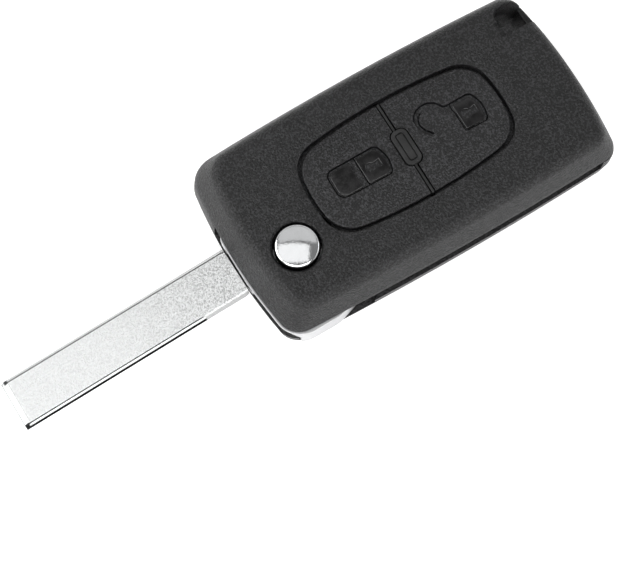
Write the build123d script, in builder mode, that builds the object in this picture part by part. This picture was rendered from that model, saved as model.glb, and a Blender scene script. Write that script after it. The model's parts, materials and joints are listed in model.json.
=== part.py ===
from build123d import *
import math
import os

os.makedirs("parts", exist_ok=True)

# Case outline seen from above, in millimetres, with the blade's pivot at the origin
case_length = 70.9
case_width = 37.85
case_centre_x = 24.88
case_centre_y = 5.31
near_left_bow = (1.1, 1.9)
near_right_bow = (0.5, 1.5)
far_right_bow = (0.95, 1.68)
far_left_bow = (0.95, 1.34)
near_left_radius = 4.0
near_right_radius = 3.0
far_right_radius = 3.5
far_left_radius = 4.7

# Case section: the halves part level with the lower lip of the blade slot
part_line = 5.2
slot_top = 8.4
case_top = 14.2
floor_thickness = 1.6
skin_thickness = 1.8
lower_lean = 0.45
lower_wall = 2.2
foot_radius = 1.5
shoulder_lean = 0.1
shoulder_left_lean = 0.4
shoulder_radius = 5.0
upper_lean = 2.5
upper_left_lean = 3.6
upper_wall = 1.9
roof_wall = 3.35
roof_left_wall = 4.0
crest_radius = 2.4
lip_setback = 1.3
lip_height = 1.0
seam_width = 0.3
seam_depth = 0.4
fit_gap = 0.1
running_gap = 0.08
moving_gap = 0.3

# Blade and the lane that it folds into
blade_width = 9.1
blade_thickness = 2.4
blade_offset = 3.65
blade_tip = 55.0
blade_root = 10.4
blade_bottom = 5.5
blade_chamfer = 0.45
blade_root_radius = 0.8
blade_step_place = 19.2
root_lean = 0.15
root_bevel = 0.3
tip_edge_bevel = 0.2
tip_bevel = 1.3
tip_land = 1.1
open_lean = 1.7
side_groove_depth = 0.6
side_groove_height = 1.4
side_groove_low = 0.5
tang_width = 6.8
tang_thickness = 1.0
tang_end = 5.2
lane_room = 1.0
lane_end = 55.6
lane_rib = 1.0

# Hub casting
hub_left = 10.35
hub_waist = 10.2
hub_near = 13.1
hub_near_left = 8.6
hub_shoulder = 10.1
hub_break = 1.0
hub_top = 8.2
hub_bottom = 2.3
hub_corner_radius = 5.0
hub_break_radius = 6.0
hub_shoulder_radius = 2.0
hub_flange = 0.6
hub_foot_radius = 8.6
hub_drum_radius = 7.0
hub_drum_top = 11.0
hub_web_top = 9.1
hub_web = 1.5
hub_cavity_radius = 4.6
skirt_left = 6.6
skirt_top_left = 8.0
skirt_right = 5.5
slot_radius = 15.4
slot_rib = 1.2
pocket_floor = 2.0
pin_radius = 0.8
pin_place = 7.6

# Release button, stem and springs
button_radius = 4.0
button_crown = 15.1
button_rim = 14.3
button_edge_radius = 0.3
button_bottom = 11.2
well_radius = 4.3
well_wall = 1.2
well_bottom = 9.3
well_chamfer = 0.35
stem_radius = 1.5
stem_top = 13.2
stem_bottom = 6.2
lug_reach = 3.9
lug_width = 2.2
lug_bottom = 8.3
lug_top = 10.3
clip_radius = 2.7
clip_thickness = 0.5
clip_groove = 0.35
cup_floor = 0.4
cup_wall = 0.35
cup_height = 1.2
cup_key = 2.4
flip_wire = 0.6
flip_turns = 5
flip_pitch = 0.68
flip_coil_radius = 3.75
wire_sides = 8
return_wire = 0.4
return_turns = 4
return_coil_radius = 2.3
washer_inner = 5.5
washer_outer = 8.0
glide_thickness = 0.3

# Keypad window, its two caps and the mat
window_centre_x = 25.5
window_centre_y = 5.77
window_length = 38.8
window_width = 19.9
window_bow = (1.55, 1.3)
window_radius = 5.7
window_dish = 0.35
dish_reach = 2.5
cap_gap = 0.62
cap_split = 0.92
cap_split_x = 25.2
cap_top = 13.95
cap_bottom = 11.7
cap_flange = 0.7
cap_flange_thickness = 0.6
cap_crown_radius = 170.0
cap_edge_radius = 0.3
cap_travel = 0.6
island_centre_x = 25.4
island_length = 6.9
island_width = 3.1
island_radius = 1.2
island_top = 14.2
island_gap = 0.22
island_rim = 0.7
island_groove = 0.25
island_groove_depth = 0.4
mat_rib = 0.44
mat_rib_top = 13.65
mat_bottom = 10.2
mat_thickness = 0.7
mat_reach = 1.9
mat_rim = 0.9
plunger_radius = 1.5
plunger_height = 0.9
plunger_spread = 9.6
scallop_radius = 7.5

# Inner frame and its screws
frame_inset = 3.4
frame_thickness = 0.8
frame_rim = 1.3
screw_radius = 0.6
screw_head_radius = 1.1
screw_head = 0.5
screw_length = 3.0
post_radius = 1.4
screw_places = [(18.2, -7.7), (45.6, -7.5), (18.6, 19.1), (45.6, 18.9)]

# Key ring corner
ring_hole_left = 55.6
ring_hole_right = 58.1
ring_hole_near = 15.0
ring_hole_far = 20.2
ring_hole_radius = 0.8
ring_wall = 1.4
ring_bar_top = 8.4
ring_bar_radius = 0.25
notch_left = 51.6
notch_near = 14.5
notch_far = 19.8
notch_step_x = 53.7
notch_step_y = 16.4
notch_step_depth = 0.5
notch_ledge = 10.6
notch_ledge_low = 9.0
notch_radius = 1.5

# Electronics bay
nest_x = 38.0
nest_y = 12.6
nest_radius = 8.3
nest_wall = 0.9
nest_height = 5.0
contact_thickness = 0.3
contact_width = 4.0
board_post_radius = 1.2
board_post_top = 7.6
board_posts = [(20.0, 5.2), (20.0, 19.5), (54.0, 5.5)]
rib_thickness = 0.9
lane_rib_places = [20.0, 28.0, 36.0, 44.0, 52.0]

# Places worked out from the sizes above
case_bows = (near_left_bow, near_right_bow, far_right_bow, far_left_bow)
case_radii = (near_left_radius, near_right_radius, far_right_radius, far_left_radius)
case_right = case_centre_x + case_length / 2
case_near = case_centre_y - case_width / 2
case_far = case_centre_y + case_width / 2
beyond = 10.0
blade_near = blade_offset - blade_width / 2
lane_far = -blade_near + lane_room
hub_plate_bottom = part_line + fit_gap
frame_bottom = slot_top + fit_gap
frame_top = frame_bottom + frame_thickness
skin_under = case_top - skin_thickness
hub_web_bottom = hub_web_top - hub_web
clip_top = hub_web_bottom - fit_gap
clip_bottom = clip_top - clip_thickness
spring_seat = pocket_floor + cup_floor
button_rise = button_crown - button_rim
button_dome_radius = (button_radius**2 + button_rise**2) / (2 * button_rise)
window_bows = (window_bow,) * 4
window_radii = (window_radius,) * 4
blade_frame = Plane(
    origin=(0, 0, blade_bottom),
    x_dir=(math.cos(math.radians(open_lean)), math.sin(math.radians(open_lean)), 0),
    z_dir=(0, 0, 1),
)
blade_section = Plane(
    origin=blade_frame.from_local_coords((-blade_tip, 0, 0)),
    x_dir=blade_frame.y_dir,
    z_dir=blade_frame.x_dir,
)
blade_side = Plane(origin=blade_frame.origin, x_dir=blade_frame.x_dir, z_dir=-blade_frame.y_dir)


def level(height):
    """Horizontal plane at a height above the case's back face."""
    return Plane.XY.offset(height)


def bowed_outline(sketch, centre, size, bows, radii):
    """Rounded rectangle whose four sides are long arcs, each corner drawn in by a bow across and along."""
    half_x = size[0] / 2
    half_y = size[1] / 2
    corners = [
        (centre[0] + across * (half_x - bow[1]), centre[1] + along * (half_y - bow[0]))
        for (across, along), bow in zip([(-1, -1), (1, -1), (1, 1), (-1, 1)], bows)
    ]
    crests = [
        (centre[0], centre[1] - half_y),
        (centre[0] + half_x, centre[1]),
        (centre[0], centre[1] + half_y),
        (centre[0] - half_x, centre[1]),
    ]
    with BuildLine() as sides:
        for side in range(4):
            ThreePointArc(corners[side], crests[side], corners[(side + 1) % 4])
    make_face(sides.edges())
    for corner, radius in zip(corners, radii):
        fillet(sketch.vertices().sort_by_distance(corner)[0], radius)


def case_outline(sketch, inset, left_inset=None):
    """The case's outline, drawn in by one distance all round and another at the blade's end."""
    left = inset if left_inset is None else left_inset
    centre = (case_centre_x + (left - inset) / 2, case_centre_y)
    size = (case_length - left - inset, case_width - 2 * inset)
    bowed_outline(sketch, centre, size, case_bows, case_radii)


def window_outline(sketch, grow):
    """The keypad window's outline, grown outwards by a distance."""
    size = (window_length + 2 * grow, window_width + 2 * grow)
    centre = (window_centre_x, window_centre_y)
    bowed_outline(sketch, centre, size, window_bows, window_radii)


def island_outline(grow):
    """The oblong island between the key caps, grown outwards by a distance."""
    with Locations((island_centre_x, window_centre_y)):
        RectangleRounded(island_width + 2 * grow, island_length + 2 * grow, island_radius + grow)


def rectangle_between(low, high, mode=Mode.ADD):
    """Rectangle given by two opposite corners."""
    centre = ((low[0] + high[0]) / 2, (low[1] + high[1]) / 2)
    with Locations(centre):
        Rectangle(high[0] - low[0], high[1] - low[1], mode=mode)


def hub_outline():
    """Eight-sided plan of the hub, the same after half a turn, so that it sits flush open and folded."""
    rounded = [(-hub_near_left, -hub_near), (hub_break, -hub_near), (hub_left, -hub_shoulder)]
    half = rounded + [(hub_waist, 0)]
    with BuildLine() as sides:
        Polyline(*half, *[(-x, -y) for x, y in half], close=True)
        for (x, y), radius in zip(rounded, [hub_corner_radius, hub_break_radius, hub_shoulder_radius]):
            for corner in [(x, y), (-x, -y)]:
                fillet(sides.vertices().sort_by_distance(corner)[0], radius)
    make_face(sides.edges())


def ring_housing(left, near):
    """Block kept solid round the key ring hole and notch."""
    rectangle_between(
        (left - ring_wall, near - ring_wall), (case_right + beyond, case_far + beyond), mode=Mode.SUBTRACT
    )


# Lower shell: a tray with the hub pocket, the blade lane, the electronics bay and the key ring bar
with BuildPart() as lower_shell:
    with BuildSketch() as foot:
        case_outline(foot, lower_lean)
    with BuildSketch(level(part_line)) as rim:
        case_outline(rim, 0)
    loft(ruled=True)
    fillet(lower_shell.faces().sort_by(Axis.Z)[0].edges(), foot_radius)

    # Hollow with the ribs that the folded blade lies over
    with BuildSketch(level(floor_thickness)) as hollow:
        case_outline(hollow, lower_wall)
        Circle(slot_radius + slot_rib, mode=Mode.SUBTRACT)
        ring_housing(ring_hole_left, ring_hole_near)
        rectangle_between((0, lane_far), (case_right, lane_far + lane_rib), mode=Mode.SUBTRACT)
        for place in lane_rib_places:
            rectangle_between(
                (place - rib_thickness / 2, case_near),
                (place + rib_thickness / 2, lane_far),
                mode=Mode.SUBTRACT,
            )
    extrude(amount=part_line - floor_thickness, mode=Mode.SUBTRACT)

    # Hub pocket, open through the near wall where the hub's skirt stands and turns
    with BuildSketch(level(pocket_floor)):
        Circle(slot_radius)
        rectangle_between(
            (-slot_radius, -slot_radius), (-skirt_left - moving_gap, slot_radius), mode=Mode.SUBTRACT
        )
        Circle(hub_foot_radius + 2 * moving_gap)
    extrude(amount=part_line - pocket_floor, mode=Mode.SUBTRACT)
    with BuildSketch(level(pocket_floor)):
        Rectangle(cup_key - 2 * running_gap, cup_key - 2 * running_gap)
    extrude(amount=cup_floor)

    # Screen between the moving parts and the bay, as high as the hub
    with BuildSketch(level(part_line)):
        Circle(slot_radius + slot_rib)
        Circle(slot_radius, mode=Mode.SUBTRACT)
        rectangle_between((-2 * slot_radius, -2 * slot_radius), (2 * slot_radius, lane_far), mode=Mode.SUBTRACT)
        rectangle_between((-2 * slot_radius, 0), (-slot_radius / 3, 2 * slot_radius), mode=Mode.SUBTRACT)
        rectangle_between((slot_radius + slot_rib / 3, lane_far), (lane_end, lane_far + lane_rib))
    extrude(amount=hub_top - part_line)

    # Posts for the circuit board, and the battery nest, open where the side contact stands
    with BuildSketch(level(floor_thickness)):
        with Locations(*board_posts):
            Circle(board_post_radius)
    extrude(amount=board_post_top - floor_thickness)
    with BuildSketch(level(floor_thickness)):
        with Locations((nest_x, nest_y)):
            Circle(nest_radius + nest_wall)
            Circle(nest_radius, mode=Mode.SUBTRACT)
        rectangle_between(
            (nest_x - contact_width / 2 - moving_gap, nest_y),
            (nest_x + contact_width / 2 + moving_gap, nest_y + beyond),
            mode=Mode.SUBTRACT,
        )
    extrude(amount=nest_height - floor_thickness)

    # Lip that stands inside the upper shell's wall along the far side and the ring end
    with BuildSketch(level(part_line)) as lip:
        case_outline(lip, lip_setback)
        with BuildSketch(mode=Mode.PRIVATE) as lip_inside:
            case_outline(lip_inside, lower_wall)
        add(lip_inside.sketch, mode=Mode.SUBTRACT)
        with BuildSketch(mode=Mode.PRIVATE) as lip_stretches:
            rectangle_between((slot_radius + 2, case_far - 5), (notch_left - ring_wall - 1, case_far))
            rectangle_between(
                (case_right - 5, lane_far + lane_rib), (case_right, notch_near - ring_wall - 1)
            )
        add(lip_stretches.sketch, mode=Mode.INTERSECT)
    extrude(amount=lip_height)

    # Key ring hole, and the bar that closes it at the outside
    with BuildSketch() as ring_hole:
        rectangle_between((ring_hole_left, ring_hole_near), (ring_hole_right, ring_hole_far))
        fillet(ring_hole.vertices(), ring_hole_radius)
    extrude(amount=part_line, mode=Mode.SUBTRACT)
    with BuildSketch(level(part_line)) as ring_bar:
        case_outline(ring_bar, fit_gap)
        with BuildSketch(mode=Mode.PRIVATE) as bar_stretch:
            rectangle_between((ring_hole_right, notch_near + fit_gap), (case_right, notch_far - fit_gap))
        add(bar_stretch.sketch, mode=Mode.INTERSECT)
    extrude(amount=ring_bar_top - part_line)
    bar_edges = lower_shell.faces().filter_by_position(Axis.Z, ring_bar_top, ring_bar_top).edges()
    fillet(bar_edges.filter_by(lambda edge: edge.length > 4), ring_bar_radius)
lower_shell.part.label = "lower_shell"
export_step(lower_shell.part, "parts/lower_shell.step")


# Upper shell: a soft-edged lid with the keypad window, the button well and the ring notch
with BuildPart() as upper_shell:
    with BuildSketch(level(part_line)) as skirt_rim:
        case_outline(skirt_rim, 0)
    with BuildSketch(level(slot_top)) as shoulder:
        case_outline(shoulder, shoulder_lean, shoulder_left_lean)
    with BuildSketch(level(case_top)) as plateau:
        case_outline(plateau, upper_lean, upper_left_lean)
    loft(ruled=True)
    fillet(upper_shell.faces().sort_by(Axis.Z)[-1].edges(), crest_radius)
    fillet(upper_shell.edges().filter_by_position(Axis.Z, slot_top, slot_top), shoulder_radius)

    # Hollow under the skin, with a rebate for the lower shell's lip
    with BuildSketch(level(part_line)) as hollow_low:
        case_outline(hollow_low, upper_wall)
        ring_housing(notch_left, notch_near)
    with BuildSketch(level(slot_top)) as hollow_middle:
        case_outline(hollow_middle, upper_wall + shoulder_lean, upper_wall + shoulder_left_lean)
        ring_housing(notch_left, notch_near)
    with BuildSketch(level(skin_under)) as hollow_high:
        case_outline(hollow_high, roof_wall, roof_left_wall)
        ring_housing(notch_left, notch_near)
    loft(ruled=True, mode=Mode.SUBTRACT)
    with BuildSketch(level(part_line)) as rebate:
        case_outline(rebate, lip_setback - fit_gap)
        ring_housing(notch_left, notch_near)
    extrude(amount=lip_height + fit_gap, mode=Mode.SUBTRACT)

    # Slot for the hub and the folded blade
    with BuildSketch(level(part_line)):
        Circle(slot_radius)
        rectangle_between((0, case_near - beyond), (lane_end, lane_far))
    extrude(amount=slot_top - part_line, mode=Mode.SUBTRACT)

    # Seam that runs on from the slot's upper lip round the near right corner
    with BuildSketch(level(slot_top - seam_width)):
        rectangle_between(
            (lane_end - 1, case_near - beyond), (case_right + beyond, case_near + near_right_radius)
        )
        with BuildSketch(mode=Mode.PRIVATE) as seam_bottom:
            case_outline(seam_bottom, shoulder_lean + seam_depth)
        add(seam_bottom.sketch, mode=Mode.SUBTRACT)
    extrude(amount=seam_width, mode=Mode.SUBTRACT)

    # Room for the hub's drum, and a tube round the button whose shoulder the glide ring bears on
    with BuildSketch(level(slot_top)):
        Circle(hub_drum_radius + moving_gap)
    extrude(amount=hub_drum_top + glide_thickness - slot_top, mode=Mode.SUBTRACT)
    with BuildSketch(level(well_bottom)):
        Circle(well_radius + well_wall)
    extrude(amount=skin_under - well_bottom + fit_gap)
    with BuildSketch(level(hub_drum_top + glide_thickness)):
        Circle(hub_drum_radius)
    extrude(amount=skin_under - hub_drum_top - glide_thickness + fit_gap)
    with BuildSketch(level(well_bottom)):
        Circle(well_radius)
    extrude(amount=case_top - well_bottom, mode=Mode.SUBTRACT)
    chamfer(
        upper_shell.edges().filter_by(GeomType.CIRCLE).filter_by(
            lambda edge: abs(edge.radius - well_radius) < 0.01 and abs(edge.center().Z - case_top) < 0.01
        ),
        well_chamfer,
    )

    # Posts for the frame screws
    with BuildSketch(level(frame_top)):
        with Locations(*screw_places):
            Circle(post_radius)
    extrude(amount=skin_under - frame_top + fit_gap)
    with BuildSketch(level(frame_top)):
        with Locations(*screw_places):
            Circle(screw_radius + running_gap)
    extrude(amount=screw_length - frame_thickness + screw_head, mode=Mode.SUBTRACT)

    # Keypad window in a shallow dish
    with BuildSketch(level(case_top)) as dish_top:
        window_outline(dish_top, dish_reach)
    with BuildSketch(level(case_top - window_dish)) as dish_bottom:
        window_outline(dish_bottom, 0)
    loft(ruled=True, mode=Mode.SUBTRACT)
    with BuildSketch(level(skin_under)) as window:
        window_outline(window, 0)
    extrude(amount=skin_thickness, mode=Mode.SUBTRACT)

    # Notch over the key ring bar: a deep end beside the bar, and a scooped ledge with a step beside it
    with BuildSketch(level(part_line)):
        rectangle_between((ring_hole_left, notch_near), (case_right + beyond, notch_far))
    extrude(amount=case_top - part_line, mode=Mode.SUBTRACT)
    with BuildSketch(level(notch_ledge)) as ledge:
        rectangle_between((notch_left, notch_step_y), (ring_hole_left + 1, notch_far))
        rectangle_between((notch_step_x, notch_near), (ring_hole_left + 1, notch_far))
        fillet(ledge.vertices().sort_by_distance((notch_left, notch_far))[0], notch_radius)
    extrude(amount=case_top - notch_ledge, mode=Mode.SUBTRACT)
    with BuildSketch(Plane.XZ.offset(-notch_near)):
        with BuildLine():
            Polyline(
                (notch_left + notch_radius, notch_ledge),
                (ring_hole_left, notch_ledge_low),
                (ring_hole_left + 1, notch_ledge_low),
                (ring_hole_left + 1, notch_ledge),
                close=True,
            )
        make_face()
    extrude(amount=notch_near - notch_far, mode=Mode.SUBTRACT)
    with BuildSketch(level(case_top - notch_step_depth)):
        rectangle_between((notch_left - 0.7, notch_near), (notch_step_x + 1, notch_step_y + 1))
    extrude(amount=notch_step_depth, mode=Mode.SUBTRACT)
upper_shell.part.label = "upper_shell"
export_step(upper_shell.part, "parts/upper_shell.step")


# Inner frame: holds the mat up against the skin and roofs the blade lane
with BuildPart() as inner_frame:
    with BuildSketch(level(frame_bottom)) as frame_plate:
        case_outline(frame_plate, frame_inset)
        Circle(scallop_radius, mode=Mode.SUBTRACT)
        ring_housing(notch_left - moving_gap, notch_near - moving_gap)
    extrude(amount=frame_thickness)
    with BuildSketch(level(frame_top)) as frame_seat:
        window_outline(frame_seat, mat_reach)
        Circle(scallop_radius, mode=Mode.SUBTRACT)
    extrude(amount=mat_bottom - frame_top)
    with BuildSketch(level(frame_bottom)) as frame_opening:
        window_outline(frame_opening, mat_reach - frame_rim)
        rectangle_between((0, case_near), (case_right, lane_far + lane_rib), mode=Mode.SUBTRACT)
        rectangle_between((0, case_near), (slot_radius / 2, case_far), mode=Mode.SUBTRACT)
        rectangle_between(
            (window_centre_x - 1.2, case_near), (window_centre_x + 1.2, case_far), mode=Mode.SUBTRACT
        )
    extrude(amount=mat_bottom - frame_bottom, mode=Mode.SUBTRACT)
    with BuildSketch(level(frame_bottom)):
        with Locations(*screw_places):
            Circle(screw_head_radius + fit_gap)
    extrude(amount=screw_head, mode=Mode.SUBTRACT)
    with BuildSketch(level(frame_bottom)):
        with Locations(*screw_places):
            Circle(screw_radius + running_gap)
    extrude(amount=frame_thickness, mode=Mode.SUBTRACT)
inner_frame.part.label = "inner_frame"
export_step(inner_frame.part, "parts/inner_frame.step")


# Frame screws
with BuildPart() as frame_screws:
    with BuildSketch(level(frame_bottom)):
        with Locations(*screw_places):
            Circle(screw_head_radius)
    extrude(amount=screw_head)
    with BuildSketch(level(frame_bottom + screw_head)):
        with Locations(*screw_places):
            Circle(screw_radius)
    extrude(amount=screw_length)
    with BuildSketch(level(frame_bottom)):
        with Locations(*screw_places):
            Rectangle(1.4, 0.35)
            Rectangle(0.35, 1.4)
    extrude(amount=screw_head / 2, mode=Mode.SUBTRACT)
frame_screws.part.label = "frame_screws"
export_step(frame_screws.part, "parts/frame_screws.step")


# Keypad mat: a rubber tray with the island that stands between the caps
with BuildPart() as keypad_membrane:
    with BuildSketch(level(mat_bottom)) as mat:
        window_outline(mat, mat_reach)
        Circle(scallop_radius, mode=Mode.SUBTRACT)
    extrude(amount=mat_thickness)
    with BuildSketch(level(mat_bottom)) as mat_lip:
        window_outline(mat_lip, mat_reach)
        with BuildSketch(mode=Mode.PRIVATE) as lip_inside:
            window_outline(lip_inside, mat_rim)
        add(lip_inside.sketch, mode=Mode.SUBTRACT)
        Circle(scallop_radius, mode=Mode.SUBTRACT)
    extrude(amount=skin_under - mat_bottom)
    with BuildSketch(level(mat_bottom)):
        island_outline(0)
    extrude(amount=island_top - mat_bottom)
    fillet(keypad_membrane.faces().sort_by(Axis.Z)[-1].edges(), cap_edge_radius / 2)
    with BuildSketch(level(mat_bottom)):
        with Locations((cap_split_x, window_centre_y)):
            Rectangle(mat_rib, window_width - 2 * cap_gap)
    extrude(amount=mat_rib_top - mat_bottom)
    with BuildSketch(level(island_top - island_groove_depth)):
        island_outline(-island_rim)
        with BuildSketch(mode=Mode.PRIVATE) as island_middle:
            island_outline(-island_rim - island_groove)
        add(island_middle.sketch, mode=Mode.SUBTRACT)
    extrude(amount=island_groove_depth, mode=Mode.SUBTRACT)
    with BuildSketch(level(mat_bottom - plunger_height)):
        with Locations((window_centre_x, window_centre_y + 1)):
            with GridLocations(2 * plunger_spread, 0, 2, 1):
                Circle(plunger_radius)
    extrude(amount=plunger_height)
keypad_membrane.part.label = "keypad_membrane"
export_step(keypad_membrane.part, "parts/keypad_membrane.step")


def keycap(side):
    """One key cap: half of the window, crowned across, with a flange that keeps it under the skin."""
    with BuildPart() as cap:
        with BuildSketch(level(cap_bottom)) as body:
            window_outline(body, -cap_gap)
        extrude(amount=cap_top + 1 - cap_bottom)
        with BuildSketch(level(cap_bottom)) as flange:
            window_outline(flange, cap_flange)
        extrude(amount=cap_flange_thickness)

        # Crown: a long arc across the fob
        with BuildSketch(Plane.YZ.offset(window_centre_x - window_length)) as crown:
            with Locations((window_centre_y, cap_top - cap_crown_radius)):
                Circle(cap_crown_radius)
        extrude(amount=2 * window_length, mode=Mode.INTERSECT)
        fillet(cap.faces().sort_by(Axis.Z)[-1].edges(), cap_edge_radius)

        # Keep one half, with a bay for the island
        with BuildSketch(level(cap_bottom)):
            with Locations((cap_split_x - side * window_length, window_centre_y)):
                Rectangle(2 * window_length + cap_split, 2 * window_width)
            island_outline(island_gap)
        extrude(amount=cap_top + 1 - cap_bottom, mode=Mode.SUBTRACT)

        # Relief over the shoulder round the button's tube, deep enough for the travel
        with BuildSketch(level(cap_bottom)):
            Circle(hub_drum_radius + moving_gap)
        extrude(amount=skin_under + cap_travel + fit_gap - cap_bottom, mode=Mode.SUBTRACT)
    return cap.part


# Lock and unlock key caps
lock_button = keycap(-1)
lock_button.label = "lock_button"
export_step(lock_button, "parts/lock_button.step")
unlock_button = keycap(1)
unlock_button.label = "unlock_button"
export_step(unlock_button, "parts/unlock_button.step")


# Blade hub: flush six-sided casting with a drum, a skirt on the near side and a slot for the blade
with BuildPart() as blade_hub:
    with BuildSketch(level(hub_plate_bottom)):
        hub_outline()
    extrude(amount=hub_top - hub_plate_bottom)

    # Undercut below the flange, on the blade's side and round the near corner
    with BuildSketch(level(hub_plate_bottom)):
        rectangle_between((-2 * hub_left, -2 * hub_near), (-skirt_top_left, blade_near - 2 * moving_gap))
    extrude(amount=hub_top - hub_flange - hub_plate_bottom, mode=Mode.SUBTRACT)

    # Foot and drum
    with BuildSketch(level(hub_bottom)):
        Circle(hub_foot_radius)
    extrude(amount=hub_top - hub_bottom)
    with BuildSketch(level(hub_top)):
        Circle(hub_drum_radius)
    extrude(amount=hub_drum_top - hub_top)

    # Skirt, flush with the near side of the case, its end leaning out above the lower shell's rim
    with BuildSketch(level(hub_bottom)):
        hub_outline()
        with BuildSketch(mode=Mode.PRIVATE) as skirt_stretch:
            rectangle_between((-skirt_top_left, -2 * hub_near), (skirt_right, -hub_shoulder))
            rectangle_between((-skirt_left, -hub_near + 1), (skirt_right, -hub_foot_radius / 2))
        add(skirt_stretch.sketch, mode=Mode.INTERSECT)
    extrude(amount=hub_top - hub_bottom)
    with BuildSketch(Plane.XZ.offset(hub_shoulder)):
        with BuildLine():
            Polyline(
                (-skirt_left, hub_bottom),
                (-skirt_left, part_line + fit_gap),
                (-skirt_top_left, hub_top - hub_flange),
                (-2 * hub_left, hub_top - hub_flange),
                (-2 * hub_left, hub_bottom),
                close=True,
            )
        make_face()
    extrude(amount=2 * hub_near, mode=Mode.SUBTRACT)

    # Bearing recess, web hole with lug slots, and spring chamber
    with BuildSketch(level(hub_web_top)):
        Circle(well_radius + well_wall + running_gap)
    extrude(amount=hub_drum_top - hub_web_top, mode=Mode.SUBTRACT)
    with BuildSketch(level(hub_web_bottom)):
        Circle(stem_radius + running_gap)
        Rectangle(2 * lug_reach + 2 * fit_gap, lug_width + 2 * fit_gap)
    extrude(amount=hub_web, mode=Mode.SUBTRACT)
    with BuildSketch(level(hub_bottom)):
        Circle(hub_cavity_radius)
    extrude(amount=hub_web_bottom - hub_bottom, mode=Mode.SUBTRACT)

    # Slot for the blade's tang and the hole for its pin
    with BuildSketch(blade_frame.offset((blade_thickness - tang_thickness) / 2)):
        rectangle_between(
            (-2 * hub_left, blade_offset - tang_width / 2 - fit_gap),
            (-tang_end + fit_gap, blade_offset + tang_width / 2 + fit_gap),
        )
    extrude(amount=tang_thickness, mode=Mode.SUBTRACT)
    with BuildSketch(blade_frame.offset(hub_plate_bottom - blade_bottom)):
        with Locations((-pin_place, blade_offset)):
            Circle(pin_radius + running_gap)
    extrude(amount=hub_top - hub_plate_bottom, mode=Mode.SUBTRACT)
blade_hub.part.label = "blade_hub"
export_step(blade_hub.part, "parts/blade_hub.step")


def blade_profile(lean, bevel):
    """Cross section of the blade, its near side leaning in by a distance up to a bevel."""
    far = blade_near + blade_width
    with BuildLine() as profile:
        Polyline(
            (blade_near + tip_edge_bevel, 0),
            (far - blade_chamfer, 0),
            (far, blade_chamfer),
            (far, blade_thickness - blade_chamfer),
            (far - blade_chamfer, blade_thickness),
            (blade_near + lean + bevel, blade_thickness),
            (blade_near + lean, blade_thickness - bevel),
            (blade_near, tip_edge_bevel),
            close=True,
        )
    make_face(profile.edges())


# Key blade: an uncut blank with bevelled edges, a grooved near edge and a tang
with BuildPart() as key_blade:
    with BuildSketch(blade_section):
        blade_profile(0, tip_edge_bevel)
        rectangle_between(
            (blade_near, side_groove_low),
            (blade_near + side_groove_depth, side_groove_low + side_groove_height),
            mode=Mode.SUBTRACT,
        )
    extrude(amount=blade_tip - blade_step_place)
    with BuildSketch(blade_section.offset(blade_tip - blade_step_place)):
        blade_profile(root_lean, root_bevel)
    extrude(amount=blade_step_place - blade_root)

    # Bevel across the tip, and a rounded corner at the root
    with BuildSketch(blade_side):
        with BuildLine():
            Polyline(
                (-blade_tip, tip_land),
                (-blade_tip + tip_bevel, blade_thickness),
                (-blade_tip + tip_bevel, blade_thickness + 1),
                (-blade_tip - 1, blade_thickness + 1),
                (-blade_tip - 1, tip_land),
                close=True,
            )
        make_face()
    extrude(amount=blade_width, both=True, mode=Mode.SUBTRACT)
    with BuildSketch(blade_frame):
        rectangle_between(
            (-blade_root - blade_root_radius, blade_near - 1), (-blade_root + 1, blade_near + blade_root_radius)
        )
        with Locations((-blade_root - blade_root_radius, blade_near + blade_root_radius)):
            Circle(blade_root_radius, mode=Mode.SUBTRACT)
    extrude(amount=blade_thickness, mode=Mode.SUBTRACT)

    # Tang inside the hub, with the hole for the pin
    with BuildSketch(blade_frame.offset((blade_thickness - tang_thickness) / 2)):
        rectangle_between(
            (-blade_root - 1, blade_offset - tang_width / 2), (-tang_end, blade_offset + tang_width / 2)
        )
        with Locations((-pin_place, blade_offset)):
            Circle(pin_radius + running_gap, mode=Mode.SUBTRACT)
    extrude(amount=tang_thickness)
key_blade.part.label = "key_blade"
export_step(key_blade.part, "parts/key_blade.step")


# Blade pin
with BuildPart() as blade_pin:
    with BuildSketch(blade_frame.offset(hub_plate_bottom - blade_bottom)):
        with Locations((-pin_place, blade_offset)):
            Circle(pin_radius)
            Circle(pin_radius / 2, mode=Mode.SUBTRACT)
    extrude(amount=hub_top - hub_plate_bottom - fit_gap)
blade_pin.part.label = "blade_pin"
export_step(blade_pin.part, "parts/blade_pin.step")


# Release button: a domed cap with a socket for the stem
with BuildPart() as release_cap:
    with BuildSketch(level(button_bottom)):
        Circle(button_radius)
    extrude(amount=button_crown - button_bottom)
    with Locations((0, 0, button_crown - button_dome_radius)):
        Sphere(button_dome_radius, mode=Mode.INTERSECT)
    fillet(release_cap.faces().sort_by(Axis.Z)[-1].edges(), button_edge_radius)
    with BuildSketch(level(button_bottom)):
        Circle(stem_radius)
    extrude(amount=stem_top - button_bottom, mode=Mode.SUBTRACT)
release_cap.part.label = "release_cap"
export_step(release_cap.part, "parts/release_cap.step")


# Release stem with its two locking lugs and the groove for the clip
with BuildPart() as release_stem:
    with BuildSketch(level(stem_bottom)):
        Circle(stem_radius)
    extrude(amount=stem_top - stem_bottom)
    with BuildSketch(level(lug_bottom)):
        Rectangle(2 * lug_reach, lug_width)
    extrude(amount=lug_top - lug_bottom)
    with BuildSketch(level(clip_bottom)):
        Circle(stem_radius)
        Circle(stem_radius - clip_groove, mode=Mode.SUBTRACT)
    extrude(amount=clip_thickness, mode=Mode.SUBTRACT)
release_stem.part.label = "release_stem"
export_step(release_stem.part, "parts/release_stem.step")


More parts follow.
